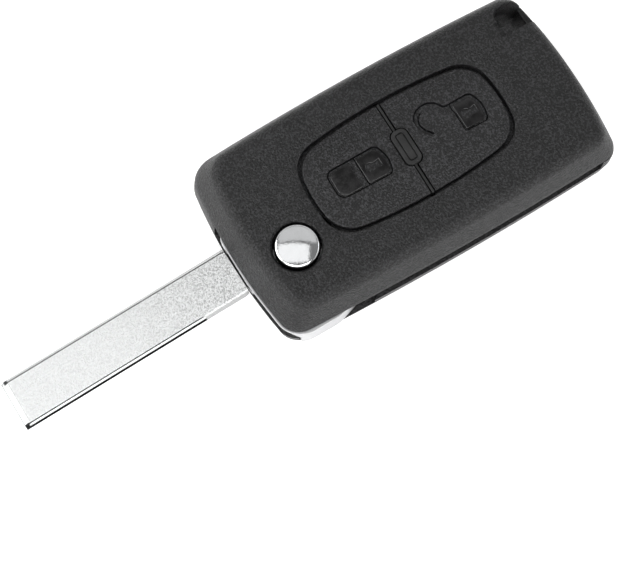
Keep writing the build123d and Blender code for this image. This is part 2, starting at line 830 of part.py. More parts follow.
# Clip in the stem's groove, open on one side
with BuildPart() as stem_clip:
    with BuildSketch(level(clip_bottom)):
        Circle(clip_radius)
        Circle(stem_radius - clip_groove, mode=Mode.SUBTRACT)
        rectangle_between((0, -0.9), (clip_radius + 1, 0.9), mode=Mode.SUBTRACT)
    extrude(amount=clip_thickness)
stem_clip.part.label = "stem_clip"
export_step(stem_clip.part, "parts/stem_clip.step")


# Spring cup, keyed on the square post on the pocket's floor, with a slot for the spring's end
with BuildPart() as spring_cup:
    with BuildSketch(level(pocket_floor)):
        Circle(hub_cavity_radius - running_gap)
    extrude(amount=cup_height)
    with BuildSketch(level(spring_seat)):
        Circle(hub_cavity_radius - running_gap - cup_wall)
        rectangle_between((0, -flip_coil_radius - flip_wire), (beyond, -flip_coil_radius + flip_wire))
    extrude(amount=cup_height, mode=Mode.SUBTRACT)
    with BuildSketch(level(pocket_floor)):
        Rectangle(cup_key, cup_key)
    extrude(amount=cup_floor, mode=Mode.SUBTRACT)
spring_cup.part.label = "spring_cup"
export_step(spring_cup.part, "parts/spring_cup.step")


def coil(radius, wire, turns, pitch, seat):
    """Wire coil standing on a seat, with its lowest point on it."""
    with BuildPart() as spring:
        with BuildLine(level(seat + wire / 2)) as path:
            Helix(pitch=pitch, height=turns * pitch, radius=radius)
        with BuildSketch(Plane(origin=path.line @ 0, z_dir=path.line % 0)):
            RegularPolygon(wire / 2, wire_sides)
        sweep(path=path.line, is_frenet=True)
    return spring.part


# Flip spring: the coil that swings the blade out
flip_spring = coil(flip_coil_radius, flip_wire, flip_turns, flip_pitch, spring_seat)
flip_spring.label = "flip_spring"
export_step(flip_spring, "parts/flip_spring.step")


# Return spring: the coil that lifts the button
return_pitch = (clip_bottom - spring_seat - return_wire) / return_turns
return_spring = coil(return_coil_radius, return_wire, return_turns, return_pitch, spring_seat)
return_spring.label = "return_spring"
export_step(return_spring, "parts/return_spring.step")


# Slip rings under and over the hub
with BuildPart() as pivot_washer:
    with BuildSketch(level(pocket_floor)):
        Circle(washer_outer)
        Circle(washer_inner, mode=Mode.SUBTRACT)
    extrude(amount=hub_bottom - pocket_floor)
pivot_washer.part.label = "pivot_washer"
export_step(pivot_washer.part, "parts/pivot_washer.step")

with BuildPart() as glide_ring:
    with BuildSketch(level(hub_drum_top)):
        Circle(hub_drum_radius - fit_gap)
        Circle(well_radius + well_wall + fit_gap, mode=Mode.SUBTRACT)
    extrude(amount=glide_thickness)
glide_ring.part.label = "glide_ring"
export_step(glide_ring.part, "parts/glide_ring.step")


# Battery contacts: a leaf that rises under the battery, and a clip at its rim
with BuildPart() as battery_contact_negative:
    with BuildSketch(Plane.XZ.offset(-nest_y)):
        with BuildLine():
            Polyline(
                (nest_x - 6.5, floor_thickness + contact_thickness / 2),
                (nest_x - 2.0, floor_thickness + contact_thickness / 2),
                (nest_x + 2.5, floor_thickness + 1.3),
                (nest_x + 4.5, floor_thickness + 0.9),
            )
        trace(line_width=contact_thickness)
    extrude(amount=contact_width / 2, both=True)
battery_contact_negative.part.label = "battery_contact_negative"
export_step(battery_contact_negative.part, "parts/battery_contact_negative.step")

with BuildPart() as battery_contact_positive:
    with BuildSketch(Plane.YZ.offset(nest_x)):
        with BuildLine():
            Polyline(
                (nest_y + nest_radius - 2.2, floor_thickness + contact_thickness / 2),
                (nest_y + nest_radius + nest_wall / 2, floor_thickness + contact_thickness / 2),
                (nest_y + nest_radius + nest_wall / 2, nest_height + 0.4),
                (nest_y + nest_radius - 1.2, nest_height + 0.9),
            )
        trace(line_width=contact_thickness)
    extrude(amount=contact_width / 2, both=True)
battery_contact_positive.part.label = "battery_contact_positive"
export_step(battery_contact_positive.part, "parts/battery_contact_positive.step")
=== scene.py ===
"""Blender scene for the flip key fob shell: finishes, fine shapes, studio and camera."""
import json
import math

import bmesh
import bpy
from bpy.props import FloatProperty, FloatVectorProperty, PointerProperty
from mathutils import Matrix, Vector

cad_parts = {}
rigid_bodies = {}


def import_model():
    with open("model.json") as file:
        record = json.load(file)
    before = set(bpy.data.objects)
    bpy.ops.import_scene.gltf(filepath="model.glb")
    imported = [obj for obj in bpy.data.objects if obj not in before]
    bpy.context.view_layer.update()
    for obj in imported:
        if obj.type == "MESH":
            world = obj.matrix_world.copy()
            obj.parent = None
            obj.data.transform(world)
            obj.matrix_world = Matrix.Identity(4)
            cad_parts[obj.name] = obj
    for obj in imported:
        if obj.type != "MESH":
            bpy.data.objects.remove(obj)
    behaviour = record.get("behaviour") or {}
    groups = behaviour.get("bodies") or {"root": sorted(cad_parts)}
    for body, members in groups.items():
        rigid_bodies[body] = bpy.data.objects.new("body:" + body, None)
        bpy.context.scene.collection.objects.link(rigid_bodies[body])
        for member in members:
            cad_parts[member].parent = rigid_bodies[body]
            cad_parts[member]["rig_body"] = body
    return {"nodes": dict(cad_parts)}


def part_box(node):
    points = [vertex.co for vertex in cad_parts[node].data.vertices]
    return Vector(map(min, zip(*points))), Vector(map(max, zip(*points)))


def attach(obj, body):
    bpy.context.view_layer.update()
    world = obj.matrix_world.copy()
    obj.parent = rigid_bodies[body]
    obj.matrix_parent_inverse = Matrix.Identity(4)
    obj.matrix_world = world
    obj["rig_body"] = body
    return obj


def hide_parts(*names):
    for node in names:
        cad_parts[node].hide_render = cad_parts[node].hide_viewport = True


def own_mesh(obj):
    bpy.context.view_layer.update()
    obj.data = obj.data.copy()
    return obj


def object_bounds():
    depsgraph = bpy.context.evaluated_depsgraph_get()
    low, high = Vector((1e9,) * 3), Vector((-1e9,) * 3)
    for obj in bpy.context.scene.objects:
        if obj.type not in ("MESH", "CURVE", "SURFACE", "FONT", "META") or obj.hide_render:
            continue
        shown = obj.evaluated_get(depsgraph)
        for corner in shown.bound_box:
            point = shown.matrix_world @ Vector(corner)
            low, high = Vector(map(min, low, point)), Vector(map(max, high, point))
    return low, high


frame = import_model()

bl_info = {
    "name": "Flip key fob shell",
    "version": (1, 0, 0),
    "blender": (4, 5, 0),
    "location": "View3D > Sidebar > Key fob",
    "description": "Finishes, signs, springs and studio for the flip key fob shell",
    "category": "Object",
}

MM = 0.001
CAD_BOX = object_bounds()

# The blade leans about Z by this many degrees, and its places are in its own leaning frame in millimetres
BLADE_LEAN = 1.7
BLADE_NEAR = -0.9
BLADE_NEAR_LINE = -0.5
BLADE_FAR_LINE = 7.6
BLADE_TOP = 7.9
BLADE_TIP = -55.0
BLADE_STEP = -19.2
BLADE_ROOT = -10.5
PITS_START = -34.0
PITS_FULL = -13.0
# Heights of the band in the blade's near slot that is painted dark as shade
SLOT_LOW = BLADE_TOP - 2.36
SLOT_HIGH = BLADE_TOP - 0.3

# How far from the tip the blade's two line grooves start, and half the width of the painted shade along the
# near line groove
LINE_START = 0.8
NEAR_LINE_SHADE = 0.12

# How far past the root the blade's top is cut down, which is well inside the hub
ROOT_REACH = 4

# Height in millimetres below which the button's side is painted dark, as painted shade in its well
BUTTON_SHADE_TOP = 14.34

# Directions in the photograph, in degrees about Z from the fob's X axis
PICTURE_UP = 59.3
PICTURE_LEFT = 149.3
PICTURE_DOWN = 239.3
PICTURE_RIGHT = 329.3

# Each softbox: its setting, azimuth, lean from the zenith, and size across and along the lean in metres
SOFTBOXES = (
    ("overhead", PICTURE_LEFT, 8, (0.67, 1.16)),
    ("far", PICTURE_UP, 40, (1.4, 0.58)),
    ("near", PICTURE_DOWN, 45, (1.5, 0.56)),
    ("left", PICTURE_LEFT, 60, (1.0, 0.5)),
    ("right", PICTURE_RIGHT, 75, (1.0, 0.35)),
)

# Half section of the floor and its wall in metres, its glow to the camera and in reflections, and how far
# it lies under the case in millimetres
FLOOR_PROFILE = ((0, 0), (2.6, 0), (2.75, 0.02), (2.88, 0.08), (2.97, 0.2), (3, 0.4), (3, 1.3))
FLOOR_GLOW = 0.45
FLOOR_DROP = 0.02


# Settings

class KeyFobSizes(bpy.types.PropertyGroup):
    """Sizes of the fine shapes, in millimetres."""

    edge_break: FloatProperty(
        name="Edge break", description="Width of the small round on moulded edges",
        default=0.06, min=0.0, max=0.3,
    )
    metal_edge_break: FloatProperty(
        name="Metal edge break", description="Width of the small round on metal edges",
        default=0.05, min=0.0, max=0.3,
    )
    groove_width: FloatProperty(
        name="Groove width", description="Width of the signs' grooves",
        default=0.22, min=0.05, max=0.6,
    )
    groove_depth: FloatProperty(
        name="Groove depth", description="Depth of the signs' grooves",
        default=0.85, min=0.05, max=1.0,
    )
    sign_depth: FloatProperty(
        name="Sign depth", description="How far the signs are sunk into the caps",
        default=0.35, min=0.1, max=0.8,
    )
    window_drop: FloatProperty(
        name="Window drop", description="How far the glossy windows lie below the caps",
        default=0.07, min=0.0, max=0.3,
    )
    window_edge: FloatProperty(
        name="Window edge", description="Round on the glossy windows' rims",
        default=0.14, min=0.02, max=0.3,
    )
    blade_line_width: FloatProperty(
        name="Blade line width", description="Width of the line along the blade's edges",
        default=0.13, min=0.05, max=0.4,
    )
    blade_line_depth: FloatProperty(
        name="Blade line depth", description="Depth of the line along the blade's edges",
        default=0.18, min=0.05, max=0.5,
    )
    root_step: FloatProperty(
        name="Root step", description="Height of the step at the blade's root",
        default=0.65, min=0.05, max=0.69,
    )
    crown_radius: FloatProperty(
        name="Crown radius", description="Radius of the key caps across the fob",
        default=170.0, min=20.0, max=1000.0,
    )
    cap_top: FloatProperty(
        name="Cap top", description="Height of the key caps' middle line",
        default=13.95, min=10.0, max=20.0,
    )
    button_rim: FloatProperty(
        name="Button rim", description="Height at which the button's dome starts",
        default=14.3, min=12.0, max=16.0,
    )
    button_edge: FloatProperty(
        name="Button edge", description="Round between the button's dome and side",
        default=0.8, min=0.05, max=1.2,
    )
    button_socket: FloatProperty(
        name="Button socket", description="Radius of the socket under the button",
        default=1.5, min=0.5, max=3.0,
    )
    button_socket_top: FloatProperty(
        name="Button socket top", description="Height of the end of the socket",
        default=13.2, min=11.5, max=14.5,
    )
    flip_wire: FloatProperty(
        name="Flip spring wire", description="Wire thickness of the flip spring",
        default=0.6, min=0.1, max=1.2,
    )
    flip_turns: FloatProperty(
        name="Flip spring turns", description="Turns of the flip spring",
        default=5.0, min=1.0, max=12.0,
    )
    return_wire: FloatProperty(
        name="Return spring wire", description="Wire thickness of the return spring",
        default=0.4, min=0.1, max=1.0,
    )
    return_turns: FloatProperty(
        name="Return spring turns", description="Turns of the return spring",
        default=4.0, min=1.0, max=12.0,
    )
    button_travel: FloatProperty(
        name="Button travel", description="How far the release button goes down",
        default=1.5, min=0.1, max=3.0,
    )
    screw_head: FloatProperty(
        name="Screw head", description="Thickness of the frame screws' heads",
        default=0.5, min=0.1, max=2.0,
    )
    screw_radius: FloatProperty(
        name="Screw radius", description="Outer radius of the frame screws' thread",
        default=0.6, min=0.2, max=2.0,
    )
    thread_pitch: FloatProperty(
        name="Thread pitch", description="Pitch of the frame screws' thread",
        default=0.4, min=0.1, max=1.0,
    )


class KeyFobFinishes(bpy.types.PropertyGroup):
    """Colours and gloss of the finishes."""

    case_colour: FloatVectorProperty(
        name="Case", description="Colour of the moulded case",
        subtype="COLOR", size=3, default=(0.0048, 0.0048, 0.0051), min=0.0, max=1.0,
    )
    cap_colour: FloatVectorProperty(
        name="Key caps", description="Colour of the key caps",
        subtype="COLOR", size=3, default=(0.0066, 0.0066, 0.0071), min=0.0, max=1.0,
    )
    window_colour: FloatVectorProperty(
        name="Sign windows", description="Colour of the glossy windows",
        subtype="COLOR", size=3, default=(0.003, 0.0028, 0.003), min=0.0, max=1.0,
    )
    mat_colour: FloatVectorProperty(
        name="Rubber mat", description="Colour of the rubber mat",
        subtype="COLOR", size=3, default=(0.012, 0.012, 0.012), min=0.0, max=1.0,
    )
    frame_colour: FloatVectorProperty(
        name="Inner frame", description="Colour of the inner frame",
        subtype="COLOR", size=3, default=(0.022, 0.022, 0.024), min=0.0, max=1.0,
    )
    hub_colour: FloatVectorProperty(
        name="Hub", description="Colour of the hub casting",
        subtype="COLOR", size=3, default=(0.5, 0.5, 0.51), min=0.0, max=1.0,
    )
    blade_colour: FloatVectorProperty(
        name="Blade", description="Colour of the blade",
        subtype="COLOR", size=3, default=(0.9, 0.91, 0.91), min=0.0, max=1.0,
    )
    button_colour: FloatVectorProperty(
        name="Button", description="Colour of the bright button",
        subtype="COLOR", size=3, default=(0.86, 0.87, 0.88), min=0.0, max=1.0,
    )
    steel_colour: FloatVectorProperty(
        name="Spring steel", description="Colour of springs, stem and screws",
        subtype="COLOR", size=3, default=(0.45, 0.45, 0.46), min=0.0, max=1.0,
    )
    contact_colour: FloatVectorProperty(
        name="Contacts", description="Colour of the plated contacts and washer",
        subtype="COLOR", size=3, default=(0.72, 0.69, 0.62), min=0.0, max=1.0,
    )
    grain_height: FloatProperty(
        name="Grain height", description="Height of the case's grain in millimetres",
        default=0.2, min=0.0, max=0.5,
    )


class KeyFobStudio(bpy.types.PropertyGroup):
    """Camera, lamps and floor."""

    camera_place: FloatVectorProperty(
        name="Camera", description="Where the camera stands",
        subtype="TRANSLATION", unit="LENGTH", size=3, default=(-0.02566, -0.05076, 0.2158),
    )
    camera_target: FloatVectorProperty(
        name="Target", description="The point that the camera looks at",
        subtype="TRANSLATION", unit="LENGTH", size=3, default=(0.00185, -0.004521, 0.0),
    )
    lens: FloatProperty(
        name="Lens", description="Focal length in millimetres on a 36 mm sensor",
        default=69.33, min=20.0, max=300.0,
    )
    room: FloatProperty(
        name="Room", description="Brightness of the grey room",
        default=0.2, min=0.0, max=2.0,
    )
    overhead: FloatProperty(
        name="Overhead", description="Brightness of the overhead softbox",
        default=0.86, min=0.0, max=5.0,
    )
    far: FloatProperty(
        name="Far", description="Brightness of the softbox above the far side",
        default=0.42, min=0.0, max=5.0,
    )
    near: FloatProperty(
        name="Near", description="Brightness of the softbox before the near side",
        default=4.2, min=0.0, max=10.0,
    )
    left: FloatProperty(
        name="Left", description="Brightness of the softbox beside the blade",
        default=4.2, min=0.0, max=10.0,
    )
    right: FloatProperty(
        name="Right", description="Brightness of the softbox at the ring end",
        default=2.0, min=0.0, max=10.0,
    )
    floor_colour: FloatVectorProperty(
        name="Floor", description="Colour of the floor",
        subtype="COLOR", size=3, default=(0.9, 0.9, 0.9), min=0.0, max=1.0,
    )


# Meshes, worked on in millimetres

def node_body(node):
    """The CAD body that a node belongs to."""
    return frame["nodes"][node]["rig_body"]


def box_mm(node):
    """A node's lowest and highest corners in millimetres."""
    low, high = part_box(node)
    return low / MM, high / MM


def solid_of(node):
    """A node's solid in millimetres, its doubles merged and its flat areas joined into single faces."""
    solid = bmesh.new()
    solid.from_mesh(frame["nodes"][node].data)
    bmesh.ops.scale(solid, vec=Vector((1, 1, 1)) / MM, verts=solid.verts)
    bmesh.ops.remove_doubles(solid, verts=solid.verts, dist=0.001)
    bmesh.ops.dissolve_degenerate(solid, edges=solid.edges, dist=0.0005)
    bmesh.ops.dissolve_limit(solid, angle_limit=math.radians(0.3), verts=solid.verts, edges=solid.edges)
    return solid


def object_from(solid, name):
    """Makes an object of a bmesh and puts it in the scene."""
    data = bpy.data.meshes.new(name)
    solid.to_mesh(data)
    solid.free()
    piece = bpy.data.objects.new(name, data)
    bpy.context.scene.collection.objects.link(piece)
    return piece


def bake_modifiers(piece):
    """Gives the piece its evaluated mesh and takes its modifiers away."""
    graph = bpy.context.evaluated_depsgraph_get()
    result = bpy.data.meshes.new_from_object(piece.evaluated_get(graph))
    piece.modifiers.clear()
    old = piece.data
    piece.data = result
    result.name = piece.name
    bpy.data.meshes.remove(old)


def shade_smooth(piece):
    """Shades all the piece's faces smooth."""
    for face in piece.data.polygons:
        face.use_smooth = True


def soften(piece, width, segments=2, angle=35.0):
    """Rounds the sharp edges a little and evens out the normals."""
    shade_smooth(piece)
    if width > 0:
        bevel = piece.modifiers.new("Edge break", "BEVEL")
        bevel.width = width
        bevel.segments = segments
        bevel.limit_method = "ANGLE"
        bevel.angle_limit = math.radians(angle)
        bevel.use_clamp_overlap = False
    normals = piece.modifiers.new("Even normals", "WEIGHTED_NORMAL")
    normals.keep_sharp = False
    bake_modifiers(piece)


def hand_over(piece, material, slot, body, *nodes):
    """Scales the finished mesh to metres, paints it and puts it on its body."""
    piece.data.transform(Matrix.Scale(MM, 4))
    piece.data.materials.clear()
    piece.data.materials.append(material)
    for face in piece.data.polygons:
        face.material_index = 0
    if nodes:
        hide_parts(*nodes)
    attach(piece, body)


def dress(node, name, material, slot, width, segments=2):
    """Makes a piece of a node's own shape, with soft edges and its finish."""
    piece = object_from(solid_of(node), name)
    soften(piece, width, segments)
    hand_over(piece, material, slot, node_body(node), node)


def rounded(corners, steps=6):
    """Points of a closed outline whose corners (x, y, radius) are rounded."""
    points = []
    count = len(corners)
    for index, (x, y, radius) in enumerate(corners):
        here = Vector((x, y))
        before = (Vector(corners[index - 1][:2]) - here).normalized()
        after = (Vector(corners[(index + 1) % count][:2]) - here).normalized()
        half = before.angle(after) / 2
        reach = radius / math.tan(half)
        centre = here + (before + after).normalized() * radius / math.sin(half)
        start = here + before * reach - centre
        turn = start.angle_signed(here + after * reach - centre)
        for step in range(steps + 1):
            arm = start.copy()
            arm.rotate(Matrix.Rotation(-turn * step / steps, 2))
            points.append(tuple(centre + arm))
    return points


def spin_shut(mesh, section, steps, distance):
    """Turns a half section once round the Z axis and joins its seam and poles."""
    axis = {"cent": (0, 0, 0), "axis": (0, 0, 1), "angle": math.tau}
    bmesh.ops.spin(mesh, geom=section, steps=steps, use_merge=True, **axis)
    bmesh.ops.remove_doubles(mesh, verts=mesh.verts, dist=distance)


def prism(outline, low, high):
    """Closed upright prism on an outline, between two heights."""
    solid = bmesh.new()
    face = solid.faces.new([solid.verts.new((x, y, low)) for x, y in outline])
    raised = bmesh.ops.extrude_face_region(solid, geom=[face])["geom"]
    corners = [item for item in raised if isinstance(item, bmesh.types.BMVert)]
    bmesh.ops.translate(solid, vec=(0, 0, high - low), verts=corners)
    bmesh.ops.recalc_face_normals(solid, faces=solid.faces)
    return object_from(solid, "cutter")


def cut(piece, cutter):
    """Cuts one solid out of the piece and deletes it."""
    modifier = piece.modifiers.new("Cut", "BOOLEAN")
    modifier.operation = "DIFFERENCE"
    modifier.solver = "MANIFOLD"
    modifier.object = cutter
    bake_modifiers(piece)
    data = cutter.data
    bpy.data.objects.remove(cutter)
    bpy.data.meshes.remove(data)


# Finishes

class Finish:
    """Builds one procedural material on Object coordinates counted in millimetres."""

    def __init__(self, name, colour, metallic, roughness, **constants):
        self.material = bpy.data.materials.new(name)
        self.material.use_nodes = True
        self.tree = self.material.node_tree
        self.shader = self.tree.nodes["Principled BSDF"]
        self.set("Base Color", (*colour, 1.0))
        self.set("Metallic", metallic)
        self.set("Roughness", roughness)
        for socket, value in constants.items():
            self.set(socket.replace("_", " "), value)
        coordinates = self.tree.nodes.new("ShaderNodeTexCoord")
        scale = self.tree.nodes.new("ShaderNodeMapping")
        scale.inputs["Scale"].default_value = (1 / MM, 1 / MM, 1 / MM)
        self.link(coordinates.outputs["Object"], scale.inputs["Vector"])
        self.place = scale.outputs["Vector"]

    def set(self, socket, value):
        """Sets a value on the shader's own socket."""
        self.shader.inputs[socket].default_value = value

    def link(self, source, target):
        """Joins two sockets."""
        self.tree.links.new(source, target)

    def stretched(self, stretch, turn=0.0):
        """Coordinates stretched along the axes and turned about Z."""
        node = self.tree.nodes.new("ShaderNodeMapping")
        node.inputs["Scale"].default_value = stretch
        node.inputs["Rotation"].default_value = (0, 0, math.radians(turn))
        self.link(self.place, node.inputs["Vector"])
        return node.outputs["Vector"]

    def noise(self, scale, detail=2.0, roughness=0.5, place=None):
        """Noise whose features are about 1/scale millimetres wide."""
        node = self.tree.nodes.new("ShaderNodeTexNoise")
        node.inputs["Scale"].default_value = scale
        node.inputs["Detail"].default_value = detail
        node.inputs["Roughness"].default_value = roughness
        self.link(place or self.place, node.inputs["Vector"])
        return node.outputs["Fac"]

    def ramp(self, source, start, end, low=0.0, high=1.0):
        """Maps a range of the source to another range, clamped."""
        node = self.tree.nodes.new("ShaderNodeMapRange")
        for socket, value in zip(("From Min", "From Max", "To Min", "To Max"), (start, end, low, high)):
            node.inputs[socket].default_value = value
        self.link(source, node.inputs["Value"])
        return node.outputs["Result"]

    def spread(self, source, low=0.0, high=1.0):
        """Maps the values that noise usually takes to a range."""
        return self.ramp(source, 0.3, 0.7, low, high)

    def between(self, source, low, high, soft=0.02):
        """One inside a range of the source and nothing outside it."""
        rising = self.ramp(source, low - soft, low)
        falling = self.ramp(source, high, high + soft, 1.0, 0.0)
        return self.both(rising, falling)

    def axes(self, place):
        """The three coordinates of a place."""
        node = self.tree.nodes.new("ShaderNodeSeparateXYZ")
        self.link(place, node.inputs["Vector"])
        return tuple(node.outputs)

    def most(self, *sources):
        """The largest of several sources."""
        result = sources[0]
        for source in sources[1:]:
            result = self.combine("MAXIMUM", result, source)
        return result

    def both(self, first, second):
        """The product of two sources, or a source and a number."""
        return self.combine("MULTIPLY", first, second)

    def combine(self, operation, first, second):
        """Arithmetic on two sources, or a source and a number."""
        node = self.tree.nodes.new("ShaderNodeMath")
        node.operation = operation
        for socket, value in zip(node.inputs, (first, second)):
            if isinstance(value, (int, float)):
                socket.default_value = value
            else:
                self.link(value, socket)
        return node.outputs["Value"]

    def blend(self, amount, first, second):
        """Colour between two colours."""
        node = self.tree.nodes.new("ShaderNodeMix")
        node.data_type = "RGBA"
        node.inputs[6].default_value = (*first, 1.0)
        node.inputs[7].default_value = (*second, 1.0)
        self.link(amount, node.inputs["Factor"])
        return node.outputs[2]

    def tint(self, amount, first, second):
        """Base colour that varies between two colours."""
        self.link(self.blend(amount, first, second), self.shader.inputs["Base Color"])

    def roughen(self, source):
        """Roughness from a source."""
        self.link(source, self.shader.inputs["Roughness"])

    def bump(self, *layers):
        """Stacks bumps, each a source, its height in millimetres and its strength."""
        normal = None
        for source, height, strength in layers:
            node = self.tree.nodes.new("ShaderNodeBump")
            node.inputs["Distance"].default_value = height * MM
            node.inputs["Strength"].default_value = strength
            self.link(source, node.inputs["Height"])
            if normal:
                self.link(normal, node.inputs["Normal"])
            normal = node.outputs["Normal"]
        self.link(normal, self.shader.inputs["Normal"])


def shade(colour, factor):
    """A colour made lighter or darker."""
    return tuple(min(1.0, channel * factor) for channel in colour)


def moulded_plastic(name, colour, grain, height, low, high):
    """Spark-eroded black plastic: even grain, soft clouding and fine bright points."""
    finish = Finish(name, colour, 0.0, (low + high) / 2, IOR=1.5, Specular_IOR_Level=0.4)
    clouds = finish.noise(0.12, 3.0)
    pores = finish.noise(grain, 1.0, 0.6)
    dust = finish.noise(grain * 2.3, 1.0)
    specks = finish.ramp(finish.noise(grain * 0.9, 0.0), 0.46, 0.66)
    points = finish.both(specks, 0.74)
    amount = finish.combine("ADD", finish.ramp(clouds, 0.35, 0.7, 0.0, 0.12), points)
    finish.tint(amount, shade(colour, 0.2), shade(colour, 5.0))
    finish.roughen(finish.ramp(dust, 0.35, 0.65, low, high))
    finish.bump((pores, height, 1.0), (dust, height * 0.4, 1.0))
    return finish.material


def case_plastic(finishes):
    """Finish of the two shells."""
    return moulded_plastic("Moulded plastic", finishes.case_colour, 3.0, finishes.grain_height, 0.36, 0.62)


def cap_plastic(finishes):
    """Finish of the key caps, a little finer than the case."""
    height = finishes.grain_height * 0.85
    return moulded_plastic("Key cap plastic", finishes.cap_colour, 3.4, height, 0.34, 0.56)


def window_gloss(finishes):
    """Polished dark windows in the signs, with faint polishing swirls."""
    colour = finishes.window_colour
    finish = Finish("Sign window", colour, 0.0, 0.1, IOR=1.49, Coat_Weight=0.4, Coat_Roughness=0.05)
    smears = finish.noise(0.7, 2.0)
    finish.tint(finish.spread(smears), shade(colour, 0.7), shade(colour, 1.5))
    finish.roughen(finish.spread(smears, 0.07, 0.2))
    finish.bump((smears, 0.02, 1.0))
    return finish.material


def mat_rubber(finishes):
    """Silicone rubber: matt, with a dusty bloom."""
    colour = finishes.mat_colour
    finish = Finish("Mat rubber", colour, 0.0, 0.75, IOR=1.43)
    bloom = finish.noise(0.35, 4.0, 0.6)
    grain = finish.noise(5.0, 2.0)
    finish.tint(finish.ramp(bloom, 0.4, 0.7), colour, shade(colour, 1.8))
    finish.roughen(finish.spread(grain, 0.62, 0.85))
    finish.bump((grain, 0.006, 1.0))
    return finish.material


def frame_plastic(finishes):
    """Smooth dark plastic of the inner frame, with flow marks from the mould."""
    colour = finishes.frame_colour
    finish = Finish("Frame plastic", colour, 0.0, 0.4, IOR=1.5)
    flow = finish.noise(0.5, 3.0, 0.5, finish.stretched((0.25, 1.0, 1.0), 12))
    finish.tint(finish.spread(flow), shade(colour, 0.8), shade(colour, 1.3))
    finish.roughen(finish.spread(flow, 0.3, 0.5))
    finish.bump((flow, 0.01, 1.0))
    return finish.material


def hub_casting(finishes):
    """Satin plated casting: fine blasted grain over slow waviness."""
    colour = finishes.hub_colour
    finish = Finish("Hub casting", colour, 1.0, 0.36)
    waves = finish.noise(0.25, 2.0)
    blast = finish.noise(7.0, 2.0, 0.6)
    finish.tint(finish.spread(blast), shade(colour, 0.9), shade(colour, 1.08))
    finish.roughen(finish.spread(waves, 0.3, 0.42))
    finish.bump((waves, 0.02, 1.0), (blast, 0.004, 1.0))
    return finish.material


def blade_painted_shade(finish, along, across, height):
    """Where shade is painted on the blade: in its line grooves and near slot, on its root part's sides, far
    border, tip edges and far tip corner, and black past the root inside the hub.
    """
    wide = finish.ramp(along, BLADE_STEP - 0.1, BLADE_STEP, 1.0, 0.0)
    narrow = finish.ramp(along, BLADE_STEP - 0.1, BLADE_STEP)
    # Painted shade inside the near and far line grooves, and in the near side's slot towards the tip
    near_line = finish.between(across, BLADE_NEAR_LINE - NEAR_LINE_SHADE, BLADE_NEAR_LINE + NEAR_LINE_SHADE)
    far_line = finish.between(across, BLADE_FAR_LINE - 0.1, BLADE_FAR_LINE + 0.1)
    groove = finish.between(height, BLADE_TOP - 0.4, BLADE_TOP - 0.06)
    slot = finish.both(
        finish.ramp(across, BLADE_NEAR + 0.7, BLADE_NEAR + 0.75, 1.0, 0.0),
        finish.between(height, SLOT_LOW, SLOT_HIGH),
    )
    # Painted shade at the tip's far corner
    corner = finish.both(
        finish.between(along, BLADE_TIP + 0.6, BLADE_TIP + 1.3),
        finish.between(across, BLADE_FAR_LINE - 0.15, BLADE_FAR_LINE + 0.7),
    )
    return finish.most(
        finish.both(finish.most(finish.both(near_line, wide), far_line), groove),
        finish.both(slot, wide),
        # Painted darker reflection on the root part's sides below its top
        finish.both(narrow, finish.ramp(height, BLADE_TOP - 0.3, BLADE_TOP - 0.2, 0.6, 0.0)),
        # Painted grey shade on the far border outside the far line
        finish.both(
            finish.ramp(across, BLADE_FAR_LINE, BLADE_FAR_LINE + 0.5, 0.3, 0.55),
            finish.ramp(across, BLADE_FAR_LINE, BLADE_FAR_LINE + 0.05),
        ),
        # Painted shade lines along the tip bevel's two edges
        finish.both(finish.between(along, BLADE_TIP + 0.06, BLADE_TIP + 0.16), 0.93),
        finish.both(finish.between(along, BLADE_TIP + 1.22, BLADE_TIP + 1.32), 0.6),
        corner,
        # Painted black shade past the root, inside the hub
        finish.ramp(along, BLADE_ROOT - 0.02, BLADE_ROOT),
    )


def blade_steel(finishes):
    """Bright plated blank, pitted more towards its root, with painted shade in its line grooves, near slot,
    edges and inside the hub.
    """
    colour = finishes.blade_colour
    finish = Finish("Blade steel", colour, 1.0, 0.25)
    along, across, height = finish.axes(finish.stretched((1.0, 1.0, 1.0), -BLADE_LEAN))
    top = finish.ramp(height, BLADE_TOP - 0.1, BLADE_TOP - 0.05)
    field = finish.both(top, finish.between(across, BLADE_NEAR_LINE, BLADE_FAR_LINE))
    strength = finish.both(field, finish.ramp(along, PITS_START, PITS_FULL, 0.15, 0.55))
    pits = finish.most(
        finish.ramp(finish.noise(4.4, 1.0, 0.5, finish.stretched((1.0, 0.6, 1.0), 25)), 0.5, 0.66),
        finish.ramp(finish.noise(6.5, 1.0), 0.54, 0.7),
    )
    streaks = finish.noise(2.2, 3.0, 0.6, finish.stretched((0.06, 1.0, 1.0), -BLADE_LEAN))
    # Pits, with the painted shade of the grooves, slot, edges and root laid over them
    dark = finish.most(finish.both(pits, strength), blade_painted_shade(finish, along, across, height))
    finish.tint(dark, colour, shade(colour, 0.04))
    rough = finish.spread(streaks, 0.2, 0.3)
    finish.roughen(finish.combine("ADD", rough, finish.ramp(pits, 0.2, 0.8, 0.0, 0.15)))
    finish.bump((streaks, 0.003, 1.0), (pits, -0.008, 1.0))
    return finish.material


def button_chrome(finishes):
    """Bright plated button with a fine mottle, a soft haze and painted shade on its side."""
    colour = finishes.button_colour
    finish = Finish("Button chrome", colour, 1.0, 0.07)
    haze = finish.noise(0.6, 3.0)
    mottle = finish.noise(3.5, 2.0, 0.6)
    # Painted shade: the side below this height is painted dark, in place of the shade of its well
    side = finish.ramp(finish.axes(finish.place)[2], BUTTON_SHADE_TOP, BUTTON_SHADE_TOP + 0.08, 0.93, 0.0)
    finish.tint(finish.most(finish.spread(haze, 0.0, 0.06), side), colour, shade(colour, 0.06))
    finish.roughen(finish.ramp(mottle, 0.35, 0.65, 0.06, 0.18))
    finish.bump((mottle, 0.008, 1.0))
    return finish.material


